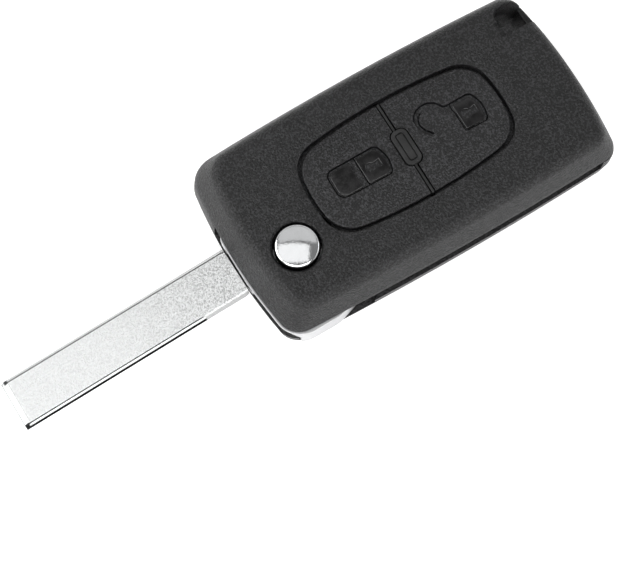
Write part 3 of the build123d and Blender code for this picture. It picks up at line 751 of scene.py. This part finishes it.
def drawn_steel(finishes):
    """Hard drawn steel: drawing lines and a thin oil film."""
    colour = finishes.steel_colour
    finish = Finish("Drawn steel", colour, 1.0, 0.3)
    film = finish.noise(0.8, 3.0)
    lines = finish.noise(8.0, 2.0)
    finish.tint(finish.spread(film), shade(colour, 0.75), shade(colour, 1.15))
    finish.roughen(finish.spread(lines, 0.22, 0.4))
    finish.bump((lines, 0.003, 1.0))
    return finish.material


def plated_contact(finishes):
    """Tinned contact sheet with dull patches and rolling lines."""
    colour = finishes.contact_colour
    finish = Finish("Plated contact", colour, 1.0, 0.3)
    patches = finish.noise(0.6, 3.0)
    rolling = finish.noise(5.0, 2.0, 0.5, finish.stretched((0.1, 1.0, 1.0)))
    finish.tint(finish.ramp(patches, 0.35, 0.7), shade(colour, 0.85), shade(colour, 1.08))
    finish.roughen(finish.spread(patches, 0.22, 0.42))
    finish.bump((rolling, 0.003, 1.0))
    return finish.material


# Geometry Nodes

class NodeTree:
    """A Geometry Nodes tree with named number inputs, ending in Realize Instances and Set Material."""

    def __init__(self, name, inputs):
        self.group = bpy.data.node_groups.new(name, "GeometryNodeTree")
        interface = self.group.interface
        interface.new_socket("Geometry", in_out="INPUT", socket_type="NodeSocketGeometry")
        for label in inputs:
            interface.new_socket(label, in_out="INPUT", socket_type="NodeSocketFloat")
        interface.new_socket("Material", in_out="INPUT", socket_type="NodeSocketMaterial")
        interface.new_socket("Geometry", in_out="OUTPUT", socket_type="NodeSocketGeometry")
        self.inputs = self.group.nodes.new("NodeGroupInput").outputs

    def add(self, kind, links=(), **settings):
        """Adds a node: settings by attribute, links by (socket, source or value)."""
        node = self.group.nodes.new("GeometryNode" + kind if not kind.startswith("Shader") else kind)
        for name, value in settings.items():
            setattr(node, name, value)
        for socket, value in links:
            if isinstance(value, bpy.types.NodeSocket):
                self.group.links.new(value, node.inputs[socket])
            else:
                node.inputs[socket].default_value = value
        return node

    def math(self, operation, first, second):
        """Arithmetic on two sources or numbers."""
        return self.add("ShaderNodeMath", ((0, first), (1, second)), operation=operation).outputs[0]

    def vector(self, x=0.0, y=0.0, z=0.0):
        """Vector from three sources or numbers."""
        return self.add("ShaderNodeCombineXYZ", ((0, x), (1, y), (2, z))).outputs[0]

    def finish(self, geometry):
        """Closes the tree on its output."""
        real = self.add("RealizeInstances", (("Geometry", geometry),)).outputs["Geometry"]
        smooth = self.add("SetShadeSmooth", (("Geometry", real),)).outputs["Geometry"]
        painted = self.add("SetMaterial", (("Geometry", smooth), ("Material", self.inputs["Material"])))
        output = self.group.nodes.new("NodeGroupOutput")
        self.group.links.new(painted.outputs["Geometry"], output.inputs["Geometry"])


def grow(piece, tree, values, material):
    """Runs a tree on the piece with its inputs set, and keeps the result as a plain mesh."""
    modifier = piece.modifiers.new(tree.group.name, "NODES")
    modifier.node_group = tree.group
    for item in tree.group.interface.items_tree:
        if item.in_out == "INPUT" and item.name in values:
            modifier[item.identifier] = float(values[item.name])
        elif item.in_out == "INPUT" and item.name == "Material":
            modifier[item.identifier] = material
    bake_modifiers(piece)


def coil_tree():
    """Coil spring: a helix with a closed turn at each end, swept with round wire."""
    tree = NodeTree("Coil spring", ("Radius", "Wire", "Turns", "Bottom", "Top", "Closed turns"))
    source = tree.inputs
    sample = tree.add("CurvePrimitiveLine", (("End", (0.0, 0.0, 1.0)),)).outputs["Curve"]
    even = tree.add("ResampleCurve", (("Curve", sample), ("Count", 260))).outputs["Curve"]
    along = tree.add("SplineParameter").outputs["Factor"]
    all_turns = tree.math("ADD", source["Turns"], tree.math("MULTIPLY", source["Closed turns"], 2.0))
    turned = tree.math("MULTIPLY", along, all_turns)
    angle = tree.math("MULTIPLY", turned, math.tau)
    x = tree.math("MULTIPLY", tree.math("COSINE", angle, 0.0), source["Radius"])
    y = tree.math("MULTIPLY", tree.math("SINE", angle, 0.0), source["Radius"])
    lead = tree.math("SUBTRACT", turned, source["Closed turns"])
    share = tree.add(
        "ShaderNodeClamp", (("Value", tree.math("DIVIDE", lead, source["Turns"])),)
    ).outputs["Result"]
    half_wire = tree.math("MULTIPLY", source["Wire"], 0.5)
    low = tree.math("ADD", source["Bottom"], half_wire)
    high = tree.math("SUBTRACT", source["Top"], half_wire)
    z = tree.math("ADD", low, tree.math("MULTIPLY", tree.math("SUBTRACT", high, low), share))
    placed = tree.add("SetPosition", (("Geometry", even), ("Position", tree.vector(x, y, z))))
    wire = tree.add("CurvePrimitiveCircle", (("Resolution", 14), ("Radius", half_wire))).outputs["Curve"]
    swept = tree.add(
        "CurveToMesh", (("Curve", placed.outputs["Geometry"]), ("Profile Curve", wire), ("Fill Caps", True))
    )
    tree.finish(swept.outputs["Mesh"])
    return tree


def screw_tree():
    """Small screw on each point: a low head with a cross recess, a core and a thread."""
    tree = NodeTree("Frame screw", ("Head radius", "Head", "Radius", "Length", "Pitch"))
    source = tree.inputs
    head = tree.add(
        "MeshCone",
        (
            ("Vertices", 40),
            ("Radius Top", source["Head radius"]),
            ("Radius Bottom", tree.math("MULTIPLY", source["Head radius"], 0.86)),
            ("Depth", source["Head"]),
        ),
    ).outputs["Mesh"]
    reach = tree.math("MULTIPLY", source["Head radius"], 1.1)
    across = tree.math("MULTIPLY", source["Head radius"], 0.3)
    bar = tree.add("MeshCube", (("Size", tree.vector(reach, across, source["Head"])),)).outputs["Mesh"]
    other = tree.add("MeshCube", (("Size", tree.vector(across, reach, source["Head"])),)).outputs["Mesh"]
    both = tree.add("JoinGeometry")
    tree.group.links.new(bar, both.inputs["Geometry"])
    tree.group.links.new(other, both.inputs["Geometry"])
    sunk = tree.add(
        "SetPosition",
        (
            ("Geometry", both.outputs["Geometry"]),
            ("Offset", tree.vector(0.0, 0.0, tree.math("MULTIPLY", source["Head"], -0.5))),
        ),
    ).outputs["Geometry"]
    recessed = tree.add(
        "MeshBoolean", (("Mesh 1", head), ("Mesh 2", sunk)), operation="DIFFERENCE", solver="MANIFOLD"
    )
    core_length = tree.math("SUBTRACT", source["Length"], source["Pitch"])
    core = tree.add(
        "MeshCone",
        (
            ("Vertices", 32),
            ("Radius Top", tree.math("MULTIPLY", source["Radius"], 0.45)),
            ("Radius Bottom", tree.math("MULTIPLY", source["Radius"], 0.74)),
            ("Depth", source["Length"]),
        ),
    ).outputs["Mesh"]
    raised = tree.add(
        "SetPosition", (("Geometry", core), ("Offset", tree.vector(0.0, 0.0, source["Head"])))
    ).outputs["Geometry"]
    helix = tree.add(
        "CurveSpiral",
        (
            ("Resolution", 28),
            ("Rotations", tree.math("DIVIDE", core_length, source["Pitch"])),
            ("Start Radius", tree.math("MULTIPLY", source["Radius"], 0.8)),
            ("End Radius", tree.math("MULTIPLY", source["Radius"], 0.62)),
            ("Height", core_length),
        ),
    ).outputs["Curve"]
    ridge = tree.add(
        "CurvePrimitiveCircle", (("Resolution", 6), ("Radius", tree.math("MULTIPLY", source["Radius"], 0.18)))
    ).outputs["Curve"]
    thread = tree.add("CurveToMesh", (("Curve", helix), ("Profile Curve", ridge), ("Fill Caps", True)))
    lift = tree.math("ADD", source["Head"], tree.math("MULTIPLY", source["Pitch"], 0.5))
    wound = tree.add(
        "SetPosition", (("Geometry", thread.outputs["Mesh"]), ("Offset", tree.vector(0.0, 0.0, lift)))
    ).outputs["Geometry"]
    screw = tree.add("JoinGeometry")
    for mesh in (recessed.outputs["Mesh"], raised, wound):
        tree.group.links.new(mesh, screw.inputs["Geometry"])
    standing = tree.add(
        "InstanceOnPoints", (("Points", source["Geometry"]), ("Instance", screw.outputs["Geometry"]))
    )
    tree.finish(standing.outputs["Instances"])
    return tree


# Signs on the key caps: closed outlines have corners (x, y, radius), and open paths have points (x, y)

LOCK_OUTLINE = [(10.7, 3.2, 1.6), (21.1, 2.95, 0.9), (21.85, 6.0, 5.0), (20.85, 8.8, 1.2), (10.7, 8.8, 1.4)]
LOCK_SHACKLE_WINDOW = [(11.05, 3.4, 1.4), (15.25, 3.35, 0.25), (15.25, 8.3, 0.25), (11.1, 8.3, 1.2)]
LOCK_BODY_WINDOW = [
    (16.5, 3.35, 0.25), (20.65, 3.2, 0.8), (21.3, 5.9, 4.0), (20.45, 8.3, 0.8), (16.5, 8.3, 0.25),
]
LOCK_DIVIDER = [(16.45, 3.06), (16.45, 8.8)]
OPEN_BODY_OUTLINE = [
    (36.0, 3.0, 0.3), (40.5, 2.85, 0.9), (41.3, 5.9, 5.0), (40.2, 8.8, 1.2), (36.0, 8.75, 0.3),
]
OPEN_BODY_WINDOW = [
    (36.3, 3.25, 0.25), (40.0, 3.15, 0.8), (40.75, 5.7, 4.0), (39.75, 8.15, 0.8), (36.3, 8.15, 0.25),
]
OPEN_HOOK = [
    (36.2, 8.75), (35.15, 8.82), (34.55, 9.5), (33.95, 10.25), (33.05, 10.8), (31.9, 10.97), (30.7, 10.78),
    (29.8, 10.25), (29.15, 9.4), (28.85, 8.5), (28.9, 7.5), (29.3, 6.5), (29.95, 5.6), (30.45, 5.05),
]
OPEN_HOOK_INSIDE = [
    (36.2, 7.3), (35.0, 7.5), (34.1, 8.3), (33.3, 9.2), (32.4, 9.75), (31.3, 9.85), (30.4, 9.6), (29.85, 9.0),
    (29.6, 8.2), (29.75, 7.2), (30.3, 6.25), (30.95, 5.45),
]

# The keyholes' places, the radius of their round end, how far their slot reaches and half its width, and
# half the round end's opening in degrees
LOCK_KEYHOLE = (18.1, 5.75)
OPEN_KEYHOLE = (37.7, 5.7)
KEYHOLE_RADIUS = 0.85
KEYHOLE_REACH = 2.05
KEYHOLE_HALF = 0.68
KEYHOLE_OPENING = 35
KEYHOLE_STEPS = 16
RIM_STEPS = 4


def keyhole(x, y, grow):
    """Outline of a keyhole lying on its side: a round end and a widening slot."""
    radius = KEYHOLE_RADIUS + grow
    reach = x + KEYHOLE_REACH + grow
    half = KEYHOLE_HALF + grow
    points = []
    for step in range(KEYHOLE_STEPS + 1):
        angle = math.radians(KEYHOLE_OPENING + (360 - 2 * KEYHOLE_OPENING) * step / KEYHOLE_STEPS)
        points.append((x + radius * math.cos(angle), y + radius * math.sin(angle)))
    return points + [(reach, y - half), (reach, y + half)]


def shrunk(corners, distance):
    """Corners of an outline drawn in towards its middle."""
    middle_x = (min(c[0] for c in corners) + max(c[0] for c in corners)) / 2
    middle_y = (min(c[1] for c in corners) + max(c[1] for c in corners)) / 2
    half_x = max(c[0] for c in corners) - middle_x
    half_y = max(c[1] for c in corners) - middle_y
    return [
        (
            middle_x + (x - middle_x) * (1 - distance / half_x),
            middle_y + (y - middle_y) * (1 - distance / half_y),
            max(0.05, radius - distance),
        )
        for x, y, radius in corners
    ]


class CapCrown:
    """Height of a key cap's crowned top."""

    def __init__(self, sizes):
        low, high = box_mm("lock_button")
        self.middle = (low.y + high.y) / 2
        self.top = sizes.cap_top
        self.radius = sizes.crown_radius

    def height(self, y):
        """Height of the crown at a place across the fob."""
        return self.top - (y - self.middle) ** 2 / (2 * self.radius)


def groove_cutter(points, width, depth, surface, closed=False):
    """Upright strip along a path, for cutting a groove with straight walls into a surface of known height."""
    strip = bmesh.new()
    rows = []
    count = len(points)
    for index, point in enumerate(points):
        here = Vector(point)
        before = Vector(points[index - 1]) if closed or index else here
        after = Vector(points[(index + 1) % count]) if closed or index < count - 1 else here
        along = (after - before).normalized()
        side = Vector((-along.y, along.x)) * width / 2
        low = surface(here.y) - depth
        high = low + depth + 1.0
        corners = [(here - side, low), (here + side, low), (here + side, high), (here - side, high)]
        rows.append([strip.verts.new((place.x, place.y, level)) for place, level in corners])
    pairs = list(zip(rows, rows[1:]))
    if closed:
        pairs.append((rows[-1], rows[0]))
    else:
        strip.faces.new(rows[0])
        strip.faces.new(rows[-1])
    for first, second in pairs:
        for a, b in ((0, 1), (1, 2), (2, 3), (3, 0)):
            strip.faces.new((first[a], first[b], second[b], second[a]))
    bmesh.ops.recalc_face_normals(strip, faces=strip.faces)
    return object_from(strip, "groove cutter")


def smooth_path(points, steps=6):
    """Points of a smooth curve through the given ones."""
    result = []
    for index in range(len(points) - 1):
        before = Vector(points[max(index - 1, 0)])
        first = Vector(points[index])
        second = Vector(points[index + 1])
        after = Vector(points[min(index + 2, len(points) - 1)])
        for step in range(steps):
            t = step / steps
            part = 0.5 * (
                2 * first
                + (second - before) * t
                + (2 * before - 5 * first + 4 * second - after) * t * t
                + (3 * first - before - 3 * second + after) * t**3
            )
            result.append(tuple(part))
    result.append(tuple(points[-1]))
    return result


def sign_window(corners, hole, low, top, edge, name):
    """Glossy window with a rounded rim, which may have a keyhole through it."""
    solid = bmesh.new()
    levels = [(0.0, low)]
    for step in range(RIM_STEPS + 1):
        bend = math.radians(90 * step / RIM_STEPS)
        levels.append((edge * (1 - math.cos(bend)), top - edge + edge * math.sin(bend)))
    shapes = [lambda inset: rounded(shrunk(corners, inset))]
    if hole:
        shapes.append(lambda inset: keyhole(*hole, inset))
    floors = []
    tops = []
    for shape in shapes:
        rings = [[solid.verts.new((x, y, z)) for x, y in shape(inset)] for inset, z in levels]
        for lower, upper in zip(rings, rings[1:]):
            for index, corner in enumerate(lower):
                solid.faces.new((lower[index - 1], corner, upper[index], upper[index - 1]))
        for ring, found in ((rings[0], floors), (rings[-1], tops)):
            found.extend(solid.edges.get((ring[index - 1], ring[index])) for index in range(len(ring)))
    for rim in (floors, tops):
        bmesh.ops.triangle_fill(solid, use_beauty=True, use_dissolve=False, edges=rim)
    bmesh.ops.recalc_face_normals(solid, faces=solid.faces)
    window = object_from(solid, name)
    soften(window, 0.0)
    return window


# Operators

class KEYFOB_OT_case_shells(bpy.types.Operator):
    """Dresses the two moulded shells"""

    bl_idname = "key_fob.case_shells"
    bl_label = "Case shells"

    def execute(self, context):
        sizes = context.scene.key_fob_sizes
        material = case_plastic(context.scene.key_fob_finishes)
        for node in ("lower_shell", "upper_shell"):
            dress(node, node + "_moulding", material, "case_plastic", sizes.edge_break)
        return {"FINISHED"}


class KEYFOB_OT_key_caps(bpy.types.Operator):
    """Makes the two key caps with their padlock signs and glossy windows"""

    bl_idname = "key_fob.key_caps"
    bl_label = "Key caps"

    def execute(self, context):
        sizes = context.scene.key_fob_sizes
        finishes = context.scene.key_fob_finishes
        plastic = cap_plastic(finishes)
        gloss = window_gloss(finishes)
        crown = CapCrown(sizes)
        hook = smooth_path(OPEN_HOOK)
        hook_inside = smooth_path(OPEN_HOOK_INSIDE)
        hook_far = hook[: len(hook) * 2 // 3]
        hook_near = hook_inside[len(hook_inside) // 2 :]
        lock = rounded(LOCK_OUTLINE, 10)
        open_body = rounded(OPEN_BODY_OUTLINE, 10)
        signs = {
            "lock_button": (
                [lock],
                [(lock, True), (LOCK_DIVIDER, False)],
                [(LOCK_SHACKLE_WINDOW, None), (LOCK_BODY_WINDOW, LOCK_KEYHOLE)],
            ),
            "unlock_button": (
                [hook + hook_inside[::-1], open_body],
                [(open_body, True), (hook_far, False), (hook_near, False)],
                [(OPEN_BODY_WINDOW, OPEN_KEYHOLE)],
            ),
        }
        for node, (sunk, grooves, windows) in signs.items():
            cap = object_from(solid_of(node), node + "_cap")
            for outline in sunk:
                cut(cap, prism(outline, sizes.cap_top - sizes.sign_depth, sizes.cap_top + 1.0))
            for points, closed in grooves:
                cut(cap, groove_cutter(points, sizes.groove_width, sizes.groove_depth, crown.height, closed))
            soften(cap, sizes.edge_break * 0.8, 2, 40.0)
            hand_over(cap, plastic, "key_cap_plastic", node_body(node), node)
            low = sizes.cap_top - sizes.sign_depth - 0.05
            for number, (corners, hole) in enumerate(windows):
                middle = sum(corner[1] for corner in corners) / len(corners)
                top = crown.height(middle) - sizes.window_drop
                name = f"{node}_window_{number + 1}"
                window = sign_window(corners, hole, low, top, sizes.window_edge, name)
                hand_over(window, gloss, "key_cap_plastic", node_body(node))
        return {"FINISHED"}


class KEYFOB_OT_keypad_mat(bpy.types.Operator):
    """Dresses the rubber mat"""

    bl_idname = "key_fob.keypad_mat"
    bl_label = "Keypad mat"

    def execute(self, context):
        sizes = context.scene.key_fob_sizes
        material = mat_rubber(context.scene.key_fob_finishes)
        dress("keypad_membrane", "keypad_mat", material, "mat_rubber", sizes.edge_break)
        return {"FINISHED"}


class KEYFOB_OT_blade_hub(bpy.types.Operator):
    """Dresses the hub casting"""

    bl_idname = "key_fob.blade_hub"
    bl_label = "Blade hub"

    def execute(self, context):
        sizes = context.scene.key_fob_sizes
        material = hub_casting(context.scene.key_fob_finishes)
        dress("blade_hub", "hub_casting", material, "hub_casting", sizes.metal_edge_break * 2, 3)
        return {"FINISHED"}


class KEYFOB_OT_key_blade(bpy.types.Operator):
    """Dresses the uncut blade"""

    bl_idname = "key_fob.key_blade"
    bl_label = "Key blade"

    def execute(self, context):
        sizes = context.scene.key_fob_sizes
        blade = object_from(solid_of("key_blade"), "blade_blank")
        near = BLADE_NEAR_LINE
        far = BLADE_FAR_LINE
        tip = BLADE_TIP + LINE_START
        near_line = [(tip, near), (BLADE_STEP - 0.3, near)]
        corners = [(tip, far, 0.1), (BLADE_ROOT, far, 0.7), (BLADE_ROOT, near, 0.1)]
        per_corner = 7
        bend = rounded(corners, per_corner - 1)[per_corner : 2 * per_corner]
        width = sizes.blade_line_width
        depth = sizes.blade_line_depth
        for points, wide in ((near_line, width * 1.5), ([(tip, far)] + bend, width)):
            path = [self.leaned(place) for place in points]
            cut(blade, groove_cutter(path, wide, depth, lambda y: BLADE_TOP))
        end = BLADE_ROOT + ROOT_REACH
        root = [(BLADE_ROOT, near - 2), (end, near - 2), (end, far + 2), (BLADE_ROOT, far + 2)]
        low = BLADE_TOP - sizes.root_step
        cut(blade, prism([self.leaned(place) for place in root], low, BLADE_TOP + 1))
        soften(blade, sizes.metal_edge_break)
        material = blade_steel(context.scene.key_fob_finishes)
        hand_over(blade, material, "blade_steel", node_body("key_blade"), "key_blade")
        return {"FINISHED"}

    def leaned(self, place):
        """A place in the blade's frame, in the fob's frame."""
        turned = Vector(place)
        turned.rotate(Matrix.Rotation(math.radians(BLADE_LEAN), 2))
        return tuple(turned)


class KEYFOB_OT_release_button(bpy.types.Operator):
    """Turns the bright domed button"""

    bl_idname = "key_fob.release_button"
    bl_label = "Release button"

    dome_steps = 40
    edge_steps = 12

    def profile(self, sizes):
        """Half section of the button from the top of the dome to the end of the socket."""
        low, high = box_mm("release_cap")
        radius = (high.x - low.x) / 2
        rise = high.z - sizes.button_rim
        dome = (radius**2 + rise**2) / (2 * rise)
        edge = sizes.button_edge
        centre_z = high.z - dome
        inner = radius - edge
        edge_z = centre_z + math.sqrt((dome - edge) ** 2 - inner**2)
        lean = math.atan2(inner, edge_z - centre_z)
        points = []
        for step in range(self.dome_steps + 1):
            angle = lean * step / self.dome_steps
            points.append((dome * math.sin(angle), centre_z + dome * math.cos(angle)))
        for step in range(1, self.edge_steps + 1):
            angle = lean + (math.pi / 2 - lean) * step / self.edge_steps
            points.append((inner + edge * math.sin(angle), edge_z + edge * math.cos(angle)))
        points += [(radius, low.z + 0.1), (radius - 0.1, low.z), (sizes.button_socket, low.z)]
        points += [(sizes.button_socket, sizes.button_socket_top), (0.0, sizes.button_socket_top)]
        return points

    def execute(self, context):
        sizes = context.scene.key_fob_sizes
        turned = bmesh.new()
        line = [turned.verts.new((x, 0, z)) for x, z in self.profile(sizes)]
        edges = [turned.edges.new(pair) for pair in zip(line, line[1:])]
        spin_shut(turned, line + edges, 128, 0.0005)
        bmesh.ops.recalc_face_normals(turned, faces=turned.faces)
        piece = object_from(turned, "release_button")
        soften(piece, 0.0)
        material = button_chrome(context.scene.key_fob_finishes)
        hand_over(piece, material, "button_chrome", node_body("release_cap"), "release_cap")
        return {"FINISHED"}


class KEYFOB_OT_springs(bpy.types.Operator):
    """Winds the flip spring and the return spring"""

    bl_idname = "key_fob.springs"
    bl_label = "Springs"

    def execute(self, context):
        sizes = context.scene.key_fob_sizes
        material = drawn_steel(context.scene.key_fob_finishes)
        tree = coil_tree()
        springs = {
            "flip_spring": (sizes.flip_wire, sizes.flip_turns, 0.0),
            "return_spring": (sizes.return_wire, sizes.return_turns, 0.75),
        }
        for node, (wire, turns, closed) in springs.items():
            low, high = box_mm(node)
            radius = (high.x - low.x - wire) / 2
            values = {"Radius": radius, "Wire": wire, "Turns": turns, "Closed turns": closed}
            values.update({"Bottom": low.z, "Top": high.z})
            piece = object_from(bmesh.new(), node + "_coil")
            grow(piece, tree, values, material)
            hand_over(piece, material, "spring_steel", node_body(node), node)
            if node == "return_spring":
                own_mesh(piece)
        return {"FINISHED"}


class KEYFOB_OT_frame_screws(bpy.types.Operator):
    """Puts a threaded screw at each of the inner frame's holes"""

    bl_idname = "key_fob.frame_screws"
    bl_label = "Frame screws"

    def execute(self, context):
        sizes = context.scene.key_fob_sizes
        material = drawn_steel(context.scene.key_fob_finishes)
        material.name = "Screw steel"
        solid = solid_of("frame_screws")
        low, high = box_mm("frame_screws")
        places = self.centres(solid)
        solid.free()
        points = bmesh.new()
        for x, y in places:
            points.verts.new((x, y, low.z))
        piece = object_from(points, "frame_screw_set")
        values = {
            "Head radius": abs(places[0][0] - low.x),
            "Head": sizes.screw_head,
            "Radius": sizes.screw_radius,
            "Length": high.z - low.z - sizes.screw_head,
            "Pitch": sizes.thread_pitch,
        }
        grow(piece, screw_tree(), values, material)
        hand_over(piece, material, "spring_steel", node_body("frame_screws"), "frame_screws")
        return {"FINISHED"}

    def centres(self, solid):
        """Centre of each screw, from the solid's separate shells, lowest x first."""
        waiting = set(solid.verts)
        found = []
        while waiting:
            group = [waiting.pop()]
            for vert in group:
                for edge in vert.link_edges:
                    other = edge.other_vert(vert)
                    if other in waiting:
                        waiting.discard(other)
                        group.append(other)
            across = [vert.co.x for vert in group]
            along = [vert.co.y for vert in group]
            found.append(((min(across) + max(across)) / 2, (min(along) + max(along)) / 2))
        return sorted(found)


class KEYFOB_OT_inner_parts(bpy.types.Operator):
    """Dresses the inner frame, the steel parts and the contacts"""

    bl_idname = "key_fob.inner_parts"
    bl_label = "Inner parts"

    def execute(self, context):
        sizes = context.scene.key_fob_sizes
        finishes = context.scene.key_fob_finishes
        steel = drawn_steel(finishes)
        plate = plated_contact(finishes)
        width = sizes.metal_edge_break
        dress("inner_frame", "frame_moulding", frame_plastic(finishes), "frame_plastic", width)
        for node in ("release_stem", "stem_clip", "blade_pin", "spring_cup"):
            dress(node, node + "_steel", steel, "spring_steel", width * 0.8)
        for node in ("battery_contact_positive", "battery_contact_negative", "pivot_washer", "glide_ring"):
            dress(node, node + "_plate", plate, "contact_plate", width * 0.8)
        return {"FINISHED"}


class KEYFOB_OT_stage(bpy.types.Operator):
    """Sets up the floor, the studio and the camera"""

    bl_idname = "key_fob.stage"
    bl_label = "Studio and camera"

    def execute(self, context):
        studio = context.scene.key_fob_studio
        target = Vector(studio.camera_target)
        self.camera(context, studio, target)
        self.floor(context, studio)
        self.world(context, studio)
        for setting, azimuth, lean, size in SOFTBOXES:
            self.softbox(context, setting.title(), target, azimuth, lean, size, getattr(studio, setting))
        context.scene.view_settings.view_transform = "Standard"
        return {"FINISHED"}

    def camera(self, context, studio, target):
        """Camera at the photograph's angle."""
        data = bpy.data.cameras.new("Camera")
        data.lens = studio.lens
        data.sensor_width = 36.0
        data.sensor_fit = "HORIZONTAL"
        data.clip_start = 0.005
        camera = bpy.data.objects.new("Camera", data)
        context.scene.collection.objects.link(camera)
        place = Vector(studio.camera_place)
        camera.location = place
        camera.rotation_euler = (target - place).to_track_quat("-Z", "Y").to_euler()
        context.scene.camera = camera

    def floor(self, context, studio):
        """Plain pale floor just under the case, which curves up into a low wall all round."""
        mesh = bmesh.new()
        line = [mesh.verts.new((x, 0, z)) for x, z in FLOOR_PROFILE]
        edges = [mesh.edges.new(pair) for pair in zip(line, line[1:])]
        spin_shut(mesh, line + edges, 96, 0.0001)
        floor = object_from(mesh, "Floor")
        shade_smooth(floor)
        floor.location.z = CAD_BOX[0][2] - FLOOR_DROP * MM
        material = bpy.data.materials.new("Floor")
        material.use_nodes = True
        nodes = material.node_tree.nodes
        links = material.node_tree.links
        shader = nodes["Principled BSDF"]
        shader.inputs["Base Color"].default_value = (*studio.floor_colour, 1.0)
        shader.inputs["Roughness"].default_value = 0.9
        shader.inputs["Specular IOR Level"].default_value = 0.1
        shader.inputs["Emission Color"].default_value = (1.0, 1.0, 1.0, 1.0)
        path = nodes.new("ShaderNodeLightPath")
        seen = path.outputs["Is Camera Ray"]
        for ray in ("Is Glossy Ray", "Is Transmission Ray"):
            either = nodes.new("ShaderNodeMath")
            either.operation = "MAXIMUM"
            links.new(seen, either.inputs[0])
            links.new(path.outputs[ray], either.inputs[1])
            seen = either.outputs["Value"]
        scale = nodes.new("ShaderNodeMath")
        scale.operation = "MULTIPLY"
        scale.inputs[1].default_value = FLOOR_GLOW
        links.new(seen, scale.inputs[0])
        links.new(scale.outputs["Value"], shader.inputs["Emission Strength"])
        floor.data.materials.append(material)

    def world(self, context, studio):
        """Even grey room behind the softboxes."""
        world = bpy.data.worlds.new("Room")
        world.use_nodes = True
        context.scene.world = world
        background = world.node_tree.nodes["Background"]
        background.inputs["Color"].default_value = (1.0, 1.0, 1.0, 1.0)
        background.inputs["Strength"].default_value = studio.room

    def softbox(self, context, name, target, azimuth, lean, size, brightness):
        """Rectangular lamp a metre off that faces the target, lean degrees away from straight above."""
        data = bpy.data.lights.new(name, "AREA")
        data.shape = "RECTANGLE"
        data.size, data.size_y = size
        data.energy = brightness * math.pi * size[0] * size[1]
        lamp = bpy.data.objects.new(name, data)
        context.scene.collection.objects.link(lamp)
        turn = Matrix.Rotation(math.radians(azimuth), 3, "Z") @ Matrix.Rotation(math.radians(lean), 3, "Y")
        arm = turn @ Vector((0, 0, 1))
        lamp.location = target + arm
        lamp.rotation_euler = (turn @ Matrix.Rotation(math.radians(90), 3, "Z")).to_euler()
        lamp.visible_camera = False


class KEYFOB_PT_panel(bpy.types.Panel):
    """Lists the steps and settings of the key fob"""

    bl_idname = "KEYFOB_PT_panel"
    bl_label = "Key fob"
    bl_space_type = "VIEW_3D"
    bl_region_type = "UI"
    bl_category = "Key fob"

    def draw(self, context):
        for step in STEPS:
            self.layout.operator(step.bl_idname)
        for name in ("key_fob_sizes", "key_fob_finishes", "key_fob_studio"):
            group = getattr(context.scene, name)
            column = self.layout.column()
            for setting in group.bl_rna.properties.keys():
                if setting not in ("rna_type", "name"):
                    column.prop(group, setting)


SETTINGS = (KeyFobSizes, KeyFobFinishes, KeyFobStudio)
STEPS = (
    KEYFOB_OT_case_shells,
    KEYFOB_OT_key_caps,
    KEYFOB_OT_keypad_mat,
    KEYFOB_OT_blade_hub,
    KEYFOB_OT_key_blade,
    KEYFOB_OT_release_button,
    KEYFOB_OT_springs,
    KEYFOB_OT_frame_screws,
    KEYFOB_OT_inner_parts,
    KEYFOB_OT_stage,
)


def register():
    """Registers the classes and the settings."""
    for cls in (*SETTINGS, *STEPS, KEYFOB_PT_panel):
        bpy.utils.register_class(cls)
    bpy.types.Scene.key_fob_sizes = PointerProperty(type=KeyFobSizes)
    bpy.types.Scene.key_fob_finishes = PointerProperty(type=KeyFobFinishes)
    bpy.types.Scene.key_fob_studio = PointerProperty(type=KeyFobStudio)


def unregister():
    """Takes the settings and the classes away again."""
    del bpy.types.Scene.key_fob_studio
    del bpy.types.Scene.key_fob_finishes
    del bpy.types.Scene.key_fob_sizes
    for cls in reversed((*SETTINGS, *STEPS, KEYFOB_PT_panel)):
        bpy.utils.unregister_class(cls)


def main():
    """Runs every step in order."""
    register()
    bpy.ops.key_fob.case_shells()
    bpy.ops.key_fob.key_caps()
    bpy.ops.key_fob.keypad_mat()
    bpy.ops.key_fob.blade_hub()
    bpy.ops.key_fob.key_blade()
    bpy.ops.key_fob.release_button()
    bpy.ops.key_fob.springs()
    bpy.ops.key_fob.frame_screws()
    bpy.ops.key_fob.inner_parts()
    bpy.ops.key_fob.stage()


if __name__ == "__main__":
    main()
